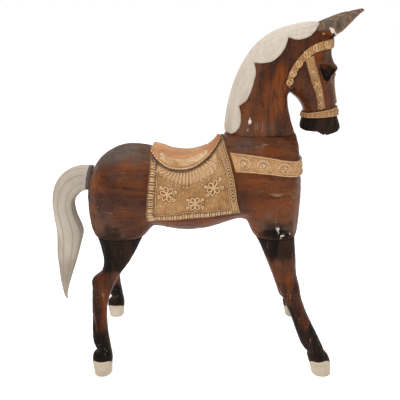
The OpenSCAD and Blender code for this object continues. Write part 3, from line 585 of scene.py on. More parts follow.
# ---- Head -------------------------------------------------------------------------------------
# The head is its own block, carved with an overhanging brow, sunk eyes, a flat face and a muzzle
# painted black, and dowelled to the neck under the crown strap.

# From the muzzle to the poll, with the neck's columns.
HEAD = np.array([
    [0, 279, 494, 212, 495, 0, 16, 2.4], [1, 279, 507, 204, 506, 0, 21, 2.4],
    [2, 273, 522, 205, 519, 0, 22, 2.4], [3, 266, 545, 208, 533, 0, 23, 2.4],
    [4, 255, 588, 203, 546, 0, 30, 2.4], [5, 256, 610, 197, 554, 0, 35, 2.4],
    [6, 246, 637, 192, 559, 0, 36, 2.4], [7, 245, 659, 187, 563, 0, 34, 2.4],
    [8, 234, 677, 183, 566, 0, 33, 2.4], [9, 212, 683, 179, 568, 0, 31, 2.3],
])
BROW = [(216, 621), (231, 624), (244, 619), (252, 612)]
EYE = [(219, 618), (236, 618), (251, 608), (244, 597), (237, 590), (229, 594)]
EYEBALL = (236, 604)
EYEBALL_R = 8
MOUTH = [(243, 494), (239, 502), (231, 507), (222, 509)]
NOSTRIL = (262, 511)
LIPS = np.array([[197, 510], [203, 504], [212, 501], [238, 500], [243, 496], [246, 494.5], [249, 497],
                 [252, 494.5], [262, 497], [273, 500], [281, 508]])


def to_line(x, z, line):
    """Distance in the side view from points to the nearest stretch of a line of points."""
    best = np.full(x.shape, 1e9)
    for (ax, az), (bx, bz) in zip(line[:-1], line[1:]):
        t = np.clip(((x - ax) * (bx - ax) + (z - az) * (bz - az)) / ((bx - ax)**2 + (bz - az)**2), 0, 1)
        best = np.minimum(best, np.hypot(x - ax - t * (bx - ax), z - az - t * (bz - az)))
    return best


def inside(x, z, outline):
    """Signed distance in the side view into a convex outline: positive inside it. The outline runs
    clockwise when seen from the right."""
    best = np.full(x.shape, 1e9)
    for (ax, az), (bx, bz) in zip(outline, outline[1:] + outline[:1]):
        size = math.hypot(bx - ax, bz - az)
        best = np.minimum(best, -((bx - ax) * (z - az) - (bz - az) * (x - ax)) / size)
    return best


u = np.linspace(0, 9, 200)
a = (np.arange(220) + 0.5) * 360 / 220
grid = pair_skin(HEAD, u[:, None], a[None, :] + 0 * u[:, None])
x, y, z = grid[..., 0], grid[..., 1], grid[..., 2]
near = mirrored(grid)
side = ease(0.25, 0.75, np.abs(y) / np.maximum(np.abs(y).max(1, keepdims=True), 1))
brow = np.exp(-(to_line(x, z, BROW) / 4.2) ** 2) * side
eye = ease(-0.6, 1.6, inside(x, z, EYE)) * side
mouth = np.exp(-(to_line(x, z, MOUTH) / 1.3) ** 2) * side
nostril = np.exp(-(np.hypot(x - NOSTRIL[0], (z - NOSTRIL[1]) * 0.7) / 3.2) ** 2) * side
cheek = blob(near, (212, 34, 572), (26, 30, 30))
grid, n, cuts = carve(grid, 11, 0.6, 11, ease(0.4, 1.2, u)[:, None] * ease(9, 8.6, u)[:, None])
off_centre = (x - EYEBALL[0]) ** 2 + (z - EYEBALL[1]) ** 2
ball = np.sqrt(np.clip(1 - off_centre / EYEBALL_R**2, 0, 1)) * side
out = 3.8 * brow - 6.5 * eye + 4.0 * ball - 1.6 * mouth - 2.4 * nostril + 1.2 * cheek
grid = grid + np.sign(y)[..., None] * np.array([0.15, 1, 0]) * out[..., None]
ledge = 4.2 * np.exp(-((z - 612) / 6) ** 2) - 2.6 * np.exp(-((z - 597) / 6) ** 2)
grid[..., 0] += ledge * ease(238, 252, x)
grid[..., 2] = np.maximum(grid[..., 2], np.interp(grid[..., 0], LIPS[:, 0], LIPS[:, 1]))
grid[..., 2] -= 0.25 * np.clip(507 - grid[..., 2], 0, 13)
under_lid = ease(-0.5, 1.5, 613 - 0.28 * (x - 219) - z)
black = ease(530, 526, z + 2 * noise(grid, 7, 4)) + eye * (0.3 + 0.65 * under_lid)
# On the head, the black is paint on the muzzle and the eyes, and the dark above each eyeball is painted
# shade under the brow. The dark zones at the throat, along the mouth and around and under the ears are
# painted shade, the warm zones on the face are a painted highlight, and the grey zone above the brow is
# dust and a painted sheen.
extra = {
    "black_and_shade": 1.6 * black + zones(near, (0.35, 180, 20, 572, 22, 40, 22)) + 0.55 * mouth
    + zones(near, (0.5, 228, 24, 676, 18, 30, 10), (0.5, 250, 20, 660, 12, 30, 12)),
    "warm_tone_and_highlight": zones(near, (0.85, 247, 20, 575, 14, 24, 42), (0.35, 215, 30, 640, 30, 30, 16)),
    "dust_and_sheen": zones(near, (0.9, 238, 24, 630, 15, 30, 18)) - 0.4 * (z < 600),
    "scuffed": zones(near, (0.45, 243, 24, 622, 12, 30, 12), (0.7, 252, 22, 601, 6, 16, 9)),
    "chipped": zones(near, (1.0, 240, 22, 671, 9, 14, 5)),
}
head = carved_piece("head_block", grid, n, cuts, extra)
fit(head, neck_wood, "horse", "brown_wood", "head", "eye_right", "eye_left")

# ---- Ears -------------------------------------------------------------------------------------
# Each ear is whittled from its own stick, laid back flat, pegged to the head and bedded in filler.

# From the buried root to the tip, with the neck's columns.
EAR = np.array([
    [-1, 237, 653, 208, 670, 14, 4, 2], [0, 248, 665, 219, 684, 20, 12, 2],
    [1, 258, 672, 231, 690, 21, 13, 2], [2, 269, 683, 247, 696, 21, 12, 2],
    [3, 280, 695, 264, 702, 21, 8, 2], [4, 289, 703, 284, 706, 20, 3, 2],
])

for side, node in ((RIGHT, "ear_right"), (LEFT, "ear_left")):
    u = np.linspace(-1, 4, 96)
    a = (np.arange(72) + 0.5) * 5
    grid = pair_skin(EAR, u[:, None], a[None, :] + 0 * u[:, None])
    if side == RIGHT:
        grid[..., 1] *= -1
        grid = grid[:, ::-1]
    grid, n, cuts = carve(grid, 8, 0.5, 13, ease(-1, -0.6, u)[:, None] * ease(4, 3.6, u)[:, None])
    low_edge = ease(0.3, -0.9, n[..., 2]) * ease(0.2, 0.9, n[..., 0])
    hollow = np.exp(-(((np.abs(grid[..., 1]) - 21) / 5) ** 2)) * low_edge * ease(0.6, 1.4, u)[:, None]
    grid = grid - n * (1.2 * hollow * ease(4, 3, u)[:, None])[..., None]
    along_ear = u[:, None] + 0 * grid[..., 0]
    # The way out along the ear from its root, and the way down across it.
    out = 0.61 * (grid[..., 0] - 238) + 0.79 * (grid[..., 2] - 671)
    down = 0.79 * (grid[..., 0] - 238) - 0.61 * (grid[..., 2] - 671)
    ragged = 1.5 * noise(grid, 9, 4)
    bare = ease(1, -2, out + ragged) * ease(674, 669, grid[..., 2] + ragged)
    line = np.exp(-((out / 3.4) ** 2)) * ease(-12, -8, down) * ease(0.2, 0.5, np.abs(n[..., 1]))
    # The darkening along each ear's lower edge is painted shade.
    extra = {
        "dust_and_sheen": 1.2 * (1 - bare),
        "scuffed": 0.66 * (1 - bare) + 0.1 * low_edge,
        "warm_tone_and_highlight": 0.4 * bare - 0.8 * (1 - bare),
        "black_and_shade": 0.6 * low_edge * ease(1, 1.4, along_ear) + 0.45 * ease(3.4, 4, along_ear)
        + 0.9 * bare * ease(3, 8, down),
        "chipped": 1.1 * line,
    }
    fit(carved_piece(node + "_carving", grid, n, cuts, extra), neck_wood, "horse", "brown_wood", node)

# ---- Mane -------------------------------------------------------------------------------------
# A raised cap along the crest with a scalloped lower edge, scored with flowing lines of hair and
# whitewashed, so that the grain shows through.

MANE_T = 4.5
# The mane runs on past the neck's seam, on to the top of the head.
MANE_SKIN = np.array([*NECK, [9, 183, 566, 234, 677, 0, 33, 2.4]])
# The lower edge in the side view, from the body up to the ears: one list of x, z for each scallop.
SCALLOPS = [
    [(74, 496), (82, 503), (88, 516), (88.5, 532), (85, 548)],
    [(85, 548), (96, 557), (104, 572), (109, 590), (112, 606), (110, 620)],
    [(110, 620), (126, 620.5), (140, 624), (153, 635), (161, 648), (165, 661)],
    [(165, 661), (180, 657), (196, 660), (208, 668), (219, 682)],
]


def on_neck(x, z):
    """The step and angle of the neck's surface that lies at x, z in the side view: the nearest of a
    fine net of its points."""
    u = np.linspace(0, 9, 361)[:, None]
    c = np.linspace(-1, 1, 241)[None, :]
    s = along(MANE_SKIN, u + 0 * c)
    px = (s[..., 1] + s[..., 3]) / 2 + (s[..., 1] - s[..., 3]) / 2 * c
    pz = (s[..., 2] + s[..., 4]) / 2 + (s[..., 2] - s[..., 4]) / 2 * c
    k = np.argmin((px - x) ** 2 + (pz - z) ** 2)
    i, j = np.unravel_index(k, px.shape)
    fall = abs(c[0, j]) ** (2.2 / 2) * (1 if c[0, j] > 0 else -1)
    return u[i, 0], math.degrees(math.acos(np.clip(fall, -1, 1)))


steps, edges = [], []
for scallop in SCALLOPS:
    marks = np.array([(t, x, z) for t, (x, z) in enumerate(scallop)], float)
    for t in np.linspace(0, len(scallop) - 1, 22):
        _, x, z = along(marks, np.array(t))
        step, angle = on_neck(x, z)
        steps.append(step)
        edges.append(180 - angle)
order = np.argsort(steps)
steps, edges = np.array(steps)[order], np.array(edges)[order]

u = np.linspace(max(steps[0], 0.02), steps[-1], 260)
spread = np.interp(u, steps, edges)
t = np.linspace(-1, 1, 150)
t = np.sign(t) * (1 - (1 - np.abs(t)) ** 1.25)
turn = 180 + spread[:, None] * t[None, :]
base = pair_skin(MANE_SKIN, u[:, None] + 0 * turn, turn)
n = normals_of(base, False)
reach = spread[:, None] * (1 - np.abs(t))[None, :] * 0.6
ends = np.minimum(u - u[0], u[-1] - u)[:, None] * 20
round_off = np.sqrt(np.clip(1 - (1 - np.clip(np.minimum(reach, ends) / 3.2, 0, 1)) ** 2, 0, 1))
flow = np.sin(turn * 0.55 + 1.6 * noise(base, 40, 3) + 0.9 * noise(base, 14, 4))
strand = np.sin(turn * 1.55 + 2.2 * noise(base, 30, 8))
height = 0.6 + (MANE_T - 0.6) * round_off * (0.93 + 0.05 * flow + 0.03 * strand)
top = base + n * height[..., None]
under = base - n * 1.2


def sheet_piece(name, top, under, tints):
    """A closed slab between two open grids of points: the top, the underside, and a wall around."""
    rows, columns = top.shape[:2]
    count = rows * columns
    edge = np.concatenate([np.arange(columns), np.arange(1, rows) * columns + columns - 1,
                           (rows - 1) * columns + np.arange(columns - 2, -1, -1),
                           np.arange(rows - 2, 0, -1) * columns])
    wall = np.stack([edge, edge + count, np.roll(edge, -1) + count, np.roll(edge, -1)], -1)
    quads = np.concatenate([grid_faces(rows, columns, False),
                            grid_faces(rows, columns, False, count)[:, ::-1], wall])
    points = np.concatenate([top.reshape(-1, 3), under.reshape(-1, 3)])
    tints = {key: np.concatenate([np.ravel(v), np.ravel(v)]) for key, v in tints.items()}
    return make_piece(name, points, quads, (), tints)


def whitewash(name, grain, tone=(0.53, 0.46, 0.385), shade=(0.39, 0.325, 0.26)):
    """Thin chalky whitewash: a cream coat that the long grain shows through, darker where the groove tint
    is high, which on the mane and the tail is painted shade in the grooves, worn through to brown in
    flecks."""
    s = Shader(name)
    lengthwise = s.stretched(grain)
    streak = s.cloud(26, 6, 0.6, lengthwise, 0.8)
    fine = s.cloud(120, 4, 0.65, lengthwise)
    colour = s.blend(s.bend(streak, 0.35, 0.68), tone, shade)
    colour = s.coat(colour, s.cloud(8, 3, 0.5), 0.35, 0.65, (0.62, 0.55, 0.47), 0.4)
    colour = s.coat(colour, fine, 0.55, 0.75, (0.36, 0.30, 0.245), 0.35)
    # Painted shade: darker where the groove tint is high.
    colour = s.coat(colour, s.tint("groove"), 0.1, 1.0, (0.27, 0.225, 0.18), 0.7)
    worn = s.sum("ADD", s.tint("worn"), s.bend(s.cloud(70, 5, 0.75, lengthwise), 0.3, 0.7, -0.4, 0.4))
    colour = s.coat(colour, worn, 0.55, 0.8, (0.075, 0.042, 0.028), 0.9)
    height = s.sum("ADD", s.sum("MULTIPLY", streak, 0.6), s.sum("MULTIPLY", fine, 0.4))
    s.skin.inputs["Specular IOR Level"].default_value = 0.3
    return s.finish(colour, s.bend(fine, 0.3, 0.7, 0.62, 0.8), height, 0.0005, 0.5)


# The groove tint darkens the low strands of the mane as painted shade.
groove = ease(0.5, 1.0, -flow) * 0.3 + 0.3 * ease(0.6, 1, -strand)
worn = 0.25 * ease(2.0, 0.6, reach) + 0.2 * noise(base, 24, 6)
mane = sheet_piece("mane_cap", top, under, {"groove": groove, "worn": worn})
fit(mane, whitewash("mane_whitewash", (1.0, 1.0, 0.22)), "horse", "whitewash", "mane")

# ---- Legs and hooves --------------------------------------------------------------------------
# Four legs, each carved from one stick with its hock or knee, a notched fetlock and a hoof dipped
# in whitewash. Each is butted and dowelled to the flat underside of the body.

HOOF_H = 30
LEAN_BACK = {"front": 18, "rear": 9}
leg_wood = stained_wood("waxed_leg_wood", (1.0, 1.0, 0.10))
hoof_coat = whitewash("hoof_whitewash", (1.0, 1.0, 1.0), (0.50, 0.415, 0.31), (0.38, 0.30, 0.21))


def leg_grid(table, side, back, heights, columns=96):
    """Rings of a leg at the given heights. The left legs lean back towards the floor."""
    a = (np.arange(columns) + 0.5) * 360 / columns
    grid = pair_skin(table, heights[:, None], a[None, :] + 0 * heights[:, None])
    if side == RIGHT:
        grid[..., 1] *= -1
        grid = grid[:, ::-1]
    else:
        grid[..., 0] -= back * (1 - heights / LEG_SEAM)[:, None]
    return grid


for which, table in (("front", LEG_FRONT), ("rear", LEG_REAR)):
    for side, word in ((RIGHT, "right"), (LEFT, "left")):
        heights = np.concatenate([[HOOF_H, HOOF_H + 0.6], np.linspace(HOOF_H + 1.2, LEG_SEAM - 0.8, 150),
                                  [LEG_SEAM]])
        grid = leg_grid(table, side, LEAN_BACK[which], heights)
        keep = ease(HOOF_H, HOOF_H + 5, heights) * ease(LEG_SEAM, LEG_SEAM - 4, heights)
        grid, n, cuts = carve(grid, 9, 0.7, 20 + side, keep[:, None])
        middle = grid[-1:].mean(1, keepdims=True)
        grid[-1:, :, :2] = middle[..., :2] + (grid[-1:, :, :2] - middle[..., :2]) * 0.985
        z = grid[..., 2]
        lumps = noise(grid, 16, 9)
        ankle = {"front": ease(122, 74, z + 12 * lumps), "rear": ease(116, 66, z + 12 * lumps)}[which]
        back_edge = ease(0.2, 0.9, -n[..., 0])
        # Painted shade at the top of each leg, under the body.
        thigh_shade = {"front": 0.40, "rear": 0.95}[which] * ease(212, 284, z + 14 * lumps)
        shank = {"front": ease(80, 100, z) * ease(260, 150, z),
                 "rear": ease(90, 130, z) * ease(215, 160, z)}[which]
        hoof_line = HOOF_H + 7 * ease(0.3, 0.9, np.abs(n[..., 1])) + 1.5 * lumps
        extra = {
            "black_and_shade": 1.15 * ankle + thigh_shade + 0.35 * ease(200, 120, z) * back_edge
            + 0.30 * ease(230, 200, z) + (0.16 + 0.10 * lumps) * ease(262, 205, z),
            "warm_tone_and_highlight": 0.6 * shank * (lumps + 0.6),
            "scuffed": 0.28 * ease(100, 130, z) * ease(215, 185, z) + 0.25 * ease(0.6, 1, cuts),
            "chipped": 0.42 * ease(120, 90, z) * ease(40, 60, z),
            "limed": ease(1.5, -1.5, z - hoof_line),
        }
        leg = carved_piece(f"leg_{which}_{word}_carving", grid, n, cuts, extra)
        fit(leg, leg_wood, "horse", "brown_wood", f"leg_{which}_{word}")

        heights = np.concatenate([[0, 0.5, 1.4], np.linspace(2.6, HOOF_H - 0.8, 36), [HOOF_H - 0.3]])
        grid = leg_grid(table, side, LEAN_BACK[which], heights)
        middle = grid.mean(1, keepdims=True)
        draw_in = np.interp(heights, [0, 0.5, 1.4, 2.6, HOOF_H - 0.8, HOOF_H - 0.3],
                            [0.93, 0.965, 0.99, 1, 1, 0.985])
        grid[..., :2] = middle[..., :2] + (grid[..., :2] - middle[..., :2]) * draw_in[:, None, None]
        inner = ease(1, 5, heights)[:, None] * ease(HOOF_H, HOOF_H - 3, heights)[:, None]
        grid, n, cuts = carve(grid, 7, 0.5, 40, inner)
        hoof = ringed_piece(f"hoof_{which}_{word}_dip", grid,
                            {"groove": 0.4 * cuts, "worn": 0.15 * noise(grid, 9, 6)})
        fit(hoof, hoof_coat, "horse", "whitewash", f"hoof_{which}_{word}")

# ---- Dowels and pegs --------------------------------------------------------------------------
# Turned from pale, unstained wood and glued in; only the tail's peg is seen, when the tail is out.


def turned_wood(name):
    """Pale bare wood with long fine grain."""
    s = Shader(name)
    streak = s.cloud(160, 4, 0.6, s.stretched((0.15, 1.0, 1.0)))
    colour = s.blend(s.bend(streak, 0.3, 0.7), (0.50, 0.33, 0.18), (0.33, 0.19, 0.09))
    return s.finish(colour, 0.62, streak, 0.0003, 0.5)


dowel_wood = turned_wood("turned_dowel_wood")
for node in ("leg_dowels", "neck_dowels", "head_dowel", "ear_pegs", "tail_peg"):
    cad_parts[node].data.materials.clear()
    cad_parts[node].data.materials.append(dowel_wood)

# ---- Tail and collar --------------------------------------------------------------------------
# One long S of limewashed wood, scored with flowing lines of hair, on a peg that plugs into the
# rump through a ring painted black.

COLLAR_T = 3.1
# From the bend at the root to the tip, with the neck's columns.
TAIL = np.array([
    [1, -221, 430, -221, 375, 0, 21, 2.2], [2, -241, 423, -230, 367, 0, 21, 2.2],
    [3, -261, 409, -237, 358, 0, 20, 2.2], [4, -277, 386, -240, 348, 0, 19, 2.2],
    [5, -285, 355, -240, 336, 0, 18, 2.2], [6, -286, 321, -237, 319, 0, 17, 2.2],
    [7, -286, 282, -229, 286, 0, 16, 2.2], [8, -291, 239, -240, 246, 0, 14, 2.2],
    [9, -292, 202, -253, 209, 0, 12, 2.2], [10, -293, 164, -268, 171, 0, 9, 2.1],
    [11, -290, 130, -281, 133, 0, 5, 2], [12, -286, 117, -283, 117, 0, 2, 2],
])
ROOT_H = 25
ROOT_W = 20

u = np.concatenate([np.linspace(0, 1, 24), np.linspace(1, 12, 260)[1:]])
a = (np.arange(120) + 0.5) * 3
root = TAIL_SEAT + COLLAR_T * TAIL_AXIS
up = np.array([math.sin(TAIL_TILT), 0, math.cos(TAIL_TILT)])
c, w = np.cos(np.radians(a)), np.sin(np.radians(a))
aside = np.array([0, 1, 0])
root_ring = root + ROOT_H * spow(c, 0.9)[:, None] * up + ROOT_W * spow(w, 0.9)[:, None] * aside
ringed = pair_skin(TAIL, np.maximum(u, 1)[:, None], a[None, :] + 0 * u[:, None])
share = ease(0, 1, u)[:, None, None] * 0.4 + 0.6 * np.clip(u, 0, 1)[:, None, None]
grid = root_ring[None] * (1 - share) + ringed * share
n = normals_of(grid, True)
wander = a[None, :] + 9 * noise(grid * [0.4, 1, 0.4], 22, 3)
hair = np.sin(np.radians(wander * 9)) * 0.5 + 0.5
broad = np.sin(np.radians(wander * 4 + 40)) * 0.5 + 0.5
inner_ridge = np.exp(-(((a - 180 + 42) / 9) ** 2)) + np.exp(-(((a - 180 - 42) / 9) ** 2))
keep = ease(0.1, 0.8, u)[:, None] * ease(12, 10.5, u)[:, None]
deep = -0.8 * hair**14 - 0.4 * broad**8 + 0.9 * inner_ridge[None, :] + 0.5 * noise(grid, 30, 5) - 0.5
grid = grid + n * (deep * keep)[..., None]
# The groove tint darkens the carved hair lines as painted shade.
groove = 0.9 * hair**14 + 0.35 * broad**12
worn = 0.10 + 0.5 * ease(11.2, 12, u)[:, None] + 0.15 * noise(grid, 26, 2)
worn += 1.5 * ease(6, 5, (grid - root) @ TAIL_AXIS) * (u < 1)[:, None]
tail = ringed_piece("tail_carving", grid, {"groove": groove * keep, "worn": worn + 0 * groove})
tail_coat = whitewash("tail_limewash", (1.0, 1.0, 0.2), (0.36, 0.30, 0.235), (0.27, 0.22, 0.168))
fit(tail, tail_coat, "tail", "whitewash", "tail")


def black_paint(name):
    """Worn black paint, brown where it is rubbed."""
    s = Shader(name)
    wear = s.cloud(90, 5, 0.7)
    colour = s.blend(s.bend(wear, 0.52, 0.72), (0.012, 0.009, 0.008), (0.05, 0.026, 0.016))
    return s.finish(colour, s.bend(wear, 0.3, 0.7, 0.4, 0.6), wear, 0.0004, 0.6)


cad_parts["tail_collar"].data.materials.clear()
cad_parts["tail_collar"].data.materials.append(black_paint("collar_paint"))

# ---- Saddle blanket ---------------------------------------------------------------------------
# A sheet of moulded paste laid over the barrel on a thin bed, painted old gold and glazed brown.
# Its edge is whipped with short dabs of paste, with a curly line down the front.

BED = 0.5
BLANKET_T = 2.0
BLANKET_TOP = BED + BLANKET_T
BLANKET_REAR = np.array([[0, -80], [43, -77], [75, -80], [106, -85], [115, -85]], float)
BLANKET_FRONT = np.array([[0, 58], [37, 64], [57, 71], [80, 80], [115, 91]], float)
BLANKET_BOTTOM = np.array([[0, 119], [0.2, 116], [0.5, 110], [0.75, 111], [1, 114]], float)


def blanket_place(s, t):
    """x and d of a place on the blanket: s from its rear edge to its front, t from the middle of
    the back to its bottom edge."""
    d = along(BLANKET_BOTTOM, s)[..., 1] * t
    rear = along(BLANKET_REAR, np.abs(d))[..., 1]
    front = along(BLANKET_FRONT, np.abs(d))[..., 1]
    return (1 - s) * rear + s * front, d


def framed(skin, u, a, step):
    """Points of a skin at u and angle a, and their unit normals from differences of step along u
    and one degree around."""
    p = skin(u, a)
    n = np.cross(skin(u, a + 1) - skin(u, a - 1), skin(u + step, a) - skin(u - step, a))
    return p, n / np.maximum(np.linalg.norm(n, axis=-1, keepdims=True), 1e-9)


def on_back(x, d, side):
    """Points and normals on the body block at x, d degrees from the top of the back to one side."""
    x, d = np.broadcast_arrays(np.asarray(x, float), np.asarray(d, float))
    return framed(trunk_skin, x, 90 - side * d, 0.5)


def line_on_back(x, d, side, lift):
    """A line of paste on the back, lift above the block: its points and their normals."""
    p, n = on_back(x, d, side)
    return p + n * lift, n


def outward(base, n, *more):
    """The grid, its normals and what goes with them, with the columns turned about if the quads
    would face inwards."""
    if np.einsum("ijk,ijk->ij", normals_of(base, False), n).mean() < 0:
        return [v[:, ::-1] for v in (base, n, *more)]
    return [base, n, *more]


def from_edge(grid):
    """Distance in millimetres from each point of an open grid to the nearest of its four sides,
    measured along its rows and columns."""
    reach = np.full(grid.shape[:2], 1e9)
    for axis in (0, 1):
        gap = np.linalg.norm(np.diff(grid, axis=axis), axis=-1)
        run = np.cumsum(gap, axis)
        zero = np.zeros_like(np.take(run, [0], axis))
        run = np.concatenate([zero, run], axis)
        reach = np.minimum(reach, np.minimum(run, np.take(run, [-1], axis) - run))
    return reach


def laid_piece(name, base, n, low, high, edge, bumps=0.0, tints=None):
    """A closed slab on a skin: its top stands high off the skin, and falls to the skin in a quarter
    round of radius edge along its sides. bumps is added to the top."""
    reach = from_edge(base)
    fall = 1 - np.sqrt(np.clip(1 - (1 - np.clip(reach / edge, 0, 1)) ** 2, 0, 1))
    top = base + n * (high - (high - low - 0.2) * fall + bumps * (1 - fall))[..., None]
    return sheet_piece(name, top, base + n * np.reshape(low, np.shape(low) + (1,)), tints or {})


# A paste line's section in radii, across it and up: a flattened bead that has slumped at its foot.
PASTE_SECTION = np.array([(1.9, -0.1), (1.05, 0.2), (0.65, 0.8), (0, 1), (-0.65, 0.8), (-1.05, 0.2),
                          (-1.9, -0.1), (0, -0.9)])


def paste_lines(name, lines, material, slot, node, radius=0.9):
    """Paste lines in one mesh. Each line is its points and the normals there. The section is carried
    along it and drawn in at both ends, and it is closed."""
    points, quads, caps, relief, hollow = [], [], [], [], []
    start, around = 0, len(PASTE_SECTION)
    for p, n in lines:
        count = len(p)
        run = np.gradient(p, axis=0)
        run /= np.maximum(np.linalg.norm(run, axis=1, keepdims=True), 1e-9)
        across = np.cross(n, run)
        across /= np.maximum(np.linalg.norm(across, axis=1, keepdims=True), 1e-9)
        r = radius * np.sqrt(np.clip(1 - np.abs(np.linspace(-1, 1, count)) ** 9, 0.06, 1))
        ring = PASTE_SECTION[None, :, :1] * across[:, None] + PASTE_SECTION[None, :, 1:] * n[:, None]
        points.append((p[:, None] + 0.25 * n[:, None] + r[:, None, None] * ring).reshape(-1, 3))
        # Each line's top is paler, as rubbed paste and a painted highlight, and its foot darker, as glaze
        # and painted shade.
        relief.append(np.tile(ease(0, 0.7, PASTE_SECTION[:, 1]), count))
        hollow.append(np.tile(ease(0.3, -0.2, PASTE_SECTION[:, 1]), count))
        quads.append(grid_faces(count, around, True, start))
        caps += ring_caps(count, around, start)
        start += count * around
    piece = make_piece(name, np.concatenate(points), np.concatenate(quads), caps,
                       {"relief": np.concatenate(relief), "hollow": np.concatenate(hollow)})
    return fit(piece, material, "horse", slot, *node)


def gold_paste(name, ground=(0.30, 0.140, 0.046), light=(0.66, 0.43, 0.23), dark=(0.050, 0.021, 0.009)):
    """Old gold paint over moulded paste: mottled ochre and tan, a brown glaze with painted shade in every
    hollow, and pale rubbed tops with a painted highlight where the relief tint is high."""
    s = Shader(name)
    broad = s.cloud(16, 4, 0.6, warp=0.5)
    mottle = s.cloud(70, 5, 0.7)
    grit = s.cloud(420, 3, 0.6)
    colour = s.blend(s.bend(broad, 0.35, 0.65), ground, (0.36, 0.190, 0.072))
    colour = s.coat(colour, mottle, 0.42, 0.68, (0.17, 0.075, 0.026), 0.65)
    colour = s.coat(colour, s.cloud(48, 4, 0.6, warp=1.0), 0.56, 0.72, (0.32, 0.19, 0.045), 0.5)
    # Paler where the relief tint is high: rubbed paste and a painted highlight.
    colour = s.coat(colour, s.tint("relief"), 0.35, 0.95, light, 0.85)
    # Darker where the hollow tint is high: brown glaze and painted shade.
    colour = s.coat(colour, s.tint("hollow"), 0.1, 1.0, dark, 0.9)
    colour = s.coat(colour, grit, 0.56, 0.70, (0.10, 0.042, 0.016), 0.6)
    colour = s.coat(colour, s.cloud(330, 2, 0.5), 0.60, 0.70, light, 0.55)
    height = s.sum("ADD", s.sum("MULTIPLY", mottle, 0.6), s.sum("MULTIPLY", grit, 0.5))
    s.skin.inputs["Specular IOR Level"].default_value = 0.3
    s.skin.inputs["Metallic"].default_value = 0.12
    return s.finish(colour, s.bend(mottle, 0.3, 0.7, 0.38, 0.58), height, 0.0010, 0.9)


gold = gold_paste("old_gold_paste")
whip_gold = gold_paste("whipped_gold_paste", (0.33, 0.165, 0.068), (0.60, 0.39, 0.215),
                       (0.06, 0.026, 0.011))
curl_gold = gold_paste("curled_gold_paste", (0.22, 0.105, 0.040), (0.50, 0.31, 0.15))
s_rows = np.linspace(0, 1, 120)
t_rows = np.linspace(-1, 1, 300)
x, d = blanket_place(s_rows[:, None] + 0 * t_rows, t_rows[None, :])
base, n = framed(trunk_skin, x, 90 + d, 0.5)
reach = from_edge(base)
bumps = 0.22 * noise(base, 5, 1) + 0.35 * noise(base, 22, 2) + 0.12 * noise(base, 2.4, 3)
# The sheet is darker along its edge, as painted shade where it meets the body, and in random patches of
# glaze.
hollow = 0.55 * ease(1.6, 0, reach) + 0.25 * np.clip(noise(base, 9, 4), 0, 1)
# The ground of the border is darker, as glaze and painted shade between the dabs.
border = np.maximum(ease(0.110, 0.095, s_rows)[:, None], ease(0.893, 0.905, np.abs(t_rows))[None, :])
border = np.maximum(border, ease(0.900, 0.915, s_rows)[:, None])
hollow = np.maximum(hollow, 0.6 * border * ease(22, 30, np.abs(d)))
# Painted shadow: a dark band on the blanket just below the seat's edge.
painted_seat_shadow = ease(8, 0, np.abs(d) - np.interp(x, [-78, -60, -20, 20, 58], [18, 35, 41, 32, 12]) - 3)
hollow += 0.8 * painted_seat_shadow * (np.abs(x) < 76)
# The ground is rubbed paler where the fan is.
fan = 0.75 * ease(66, 58, np.abs(d) + 0.004 * (x + 6) ** 2) * ease(62, 50, np.abs(x + 8))
blanket = laid_piece("blanket_sheet", base, n, BED - 0.3, BLANKET_TOP, 1.6, bumps,
                     {"relief": 0.25 * ease(0.2, 1, bumps) + fan, "hollow": hollow})
fit(blanket, gold, "horse", "gold_paste", "blanket")


STITCH = 5
for side, word in ((RIGHT, "right"), (LEFT, "left")):
    lines = []
    # Dabs across the rear edge, then along the bottom edge, each a little slanted.
    for k, t in enumerate(np.linspace(0.32, 0.975, 32)):
        lean = 0.006 * math.sin(k * 1.7)
        s_mark = np.linspace(0.014, 0.082 + 0.006 * math.sin(k * 2.3), STITCH)
        x, d = blanket_place(s_mark, np.full(STITCH, t) + lean + np.linspace(0, 0.006, STITCH))
        lines.append(line_on_back(x, d, side, BLANKET_TOP + 0.2))
    for k, s_mark in enumerate(np.linspace(0.045, 0.90, 45)):
        lean = 0.003 * math.sin(k * 2.1)
        t = np.linspace(0.986, 0.918 + 0.006 * math.sin(k * 1.3), STITCH)
        x, d = blanket_place(np.full(STITCH, s_mark) + lean + np.linspace(0, 0.008, STITCH), t)
        lines.append(line_on_back(x, d, side, BLANKET_TOP + 0.2))
    paste_lines(f"blanket_border_{word}_whipping", lines, whip_gold, "gold_paste",
                [f"blanket_border_{word}"], 1.05)
    # A curly line down the front, between two plain ones, and loops like lace along the top.
    turns = 30
    w = np.linspace(0, 1, turns * 14)
    loop = 2 * np.pi * turns * w
    x, d = blanket_place(0.953 - 0.024 * np.cos(loop), 0.16 + 0.80 * w + 0.017 * np.sin(loop))
    lines = [line_on_back(x, d, side, BLANKET_TOP + 0.3)]
    for s_mark, t_low, t_high in ((0.914, 0.15, 0.985), (0.990, 0.15, 0.985), (0.100, 0.33, 0.90)):
        x, d = blanket_place(np.full(80, s_mark), np.linspace(t_low, t_high, 80))
        lines.append(line_on_back(x, d, side, BLANKET_TOP + 0.1))
    x, d = blanket_place(np.linspace(0.10, 0.91, 90), np.full(90, 0.902))
    lines.append(line_on_back(x, d, side, BLANKET_TOP + 0.1))
    paste_lines(f"blanket_border_{word}_curls", lines, curl_gold, "gold_paste", [], 0.75)

# ---- Fan and rosettes -------------------------------------------------------------------------
# Piped on the blanket with the same paste: a fan of double rays under the seat, each with a dot at
# its foot, and three looped flowers with leaves.

RAYS = 17
ROSETTES = [(-44, 77, 0.2), (6, 89, 0.0), (40, 72, -0.25)]


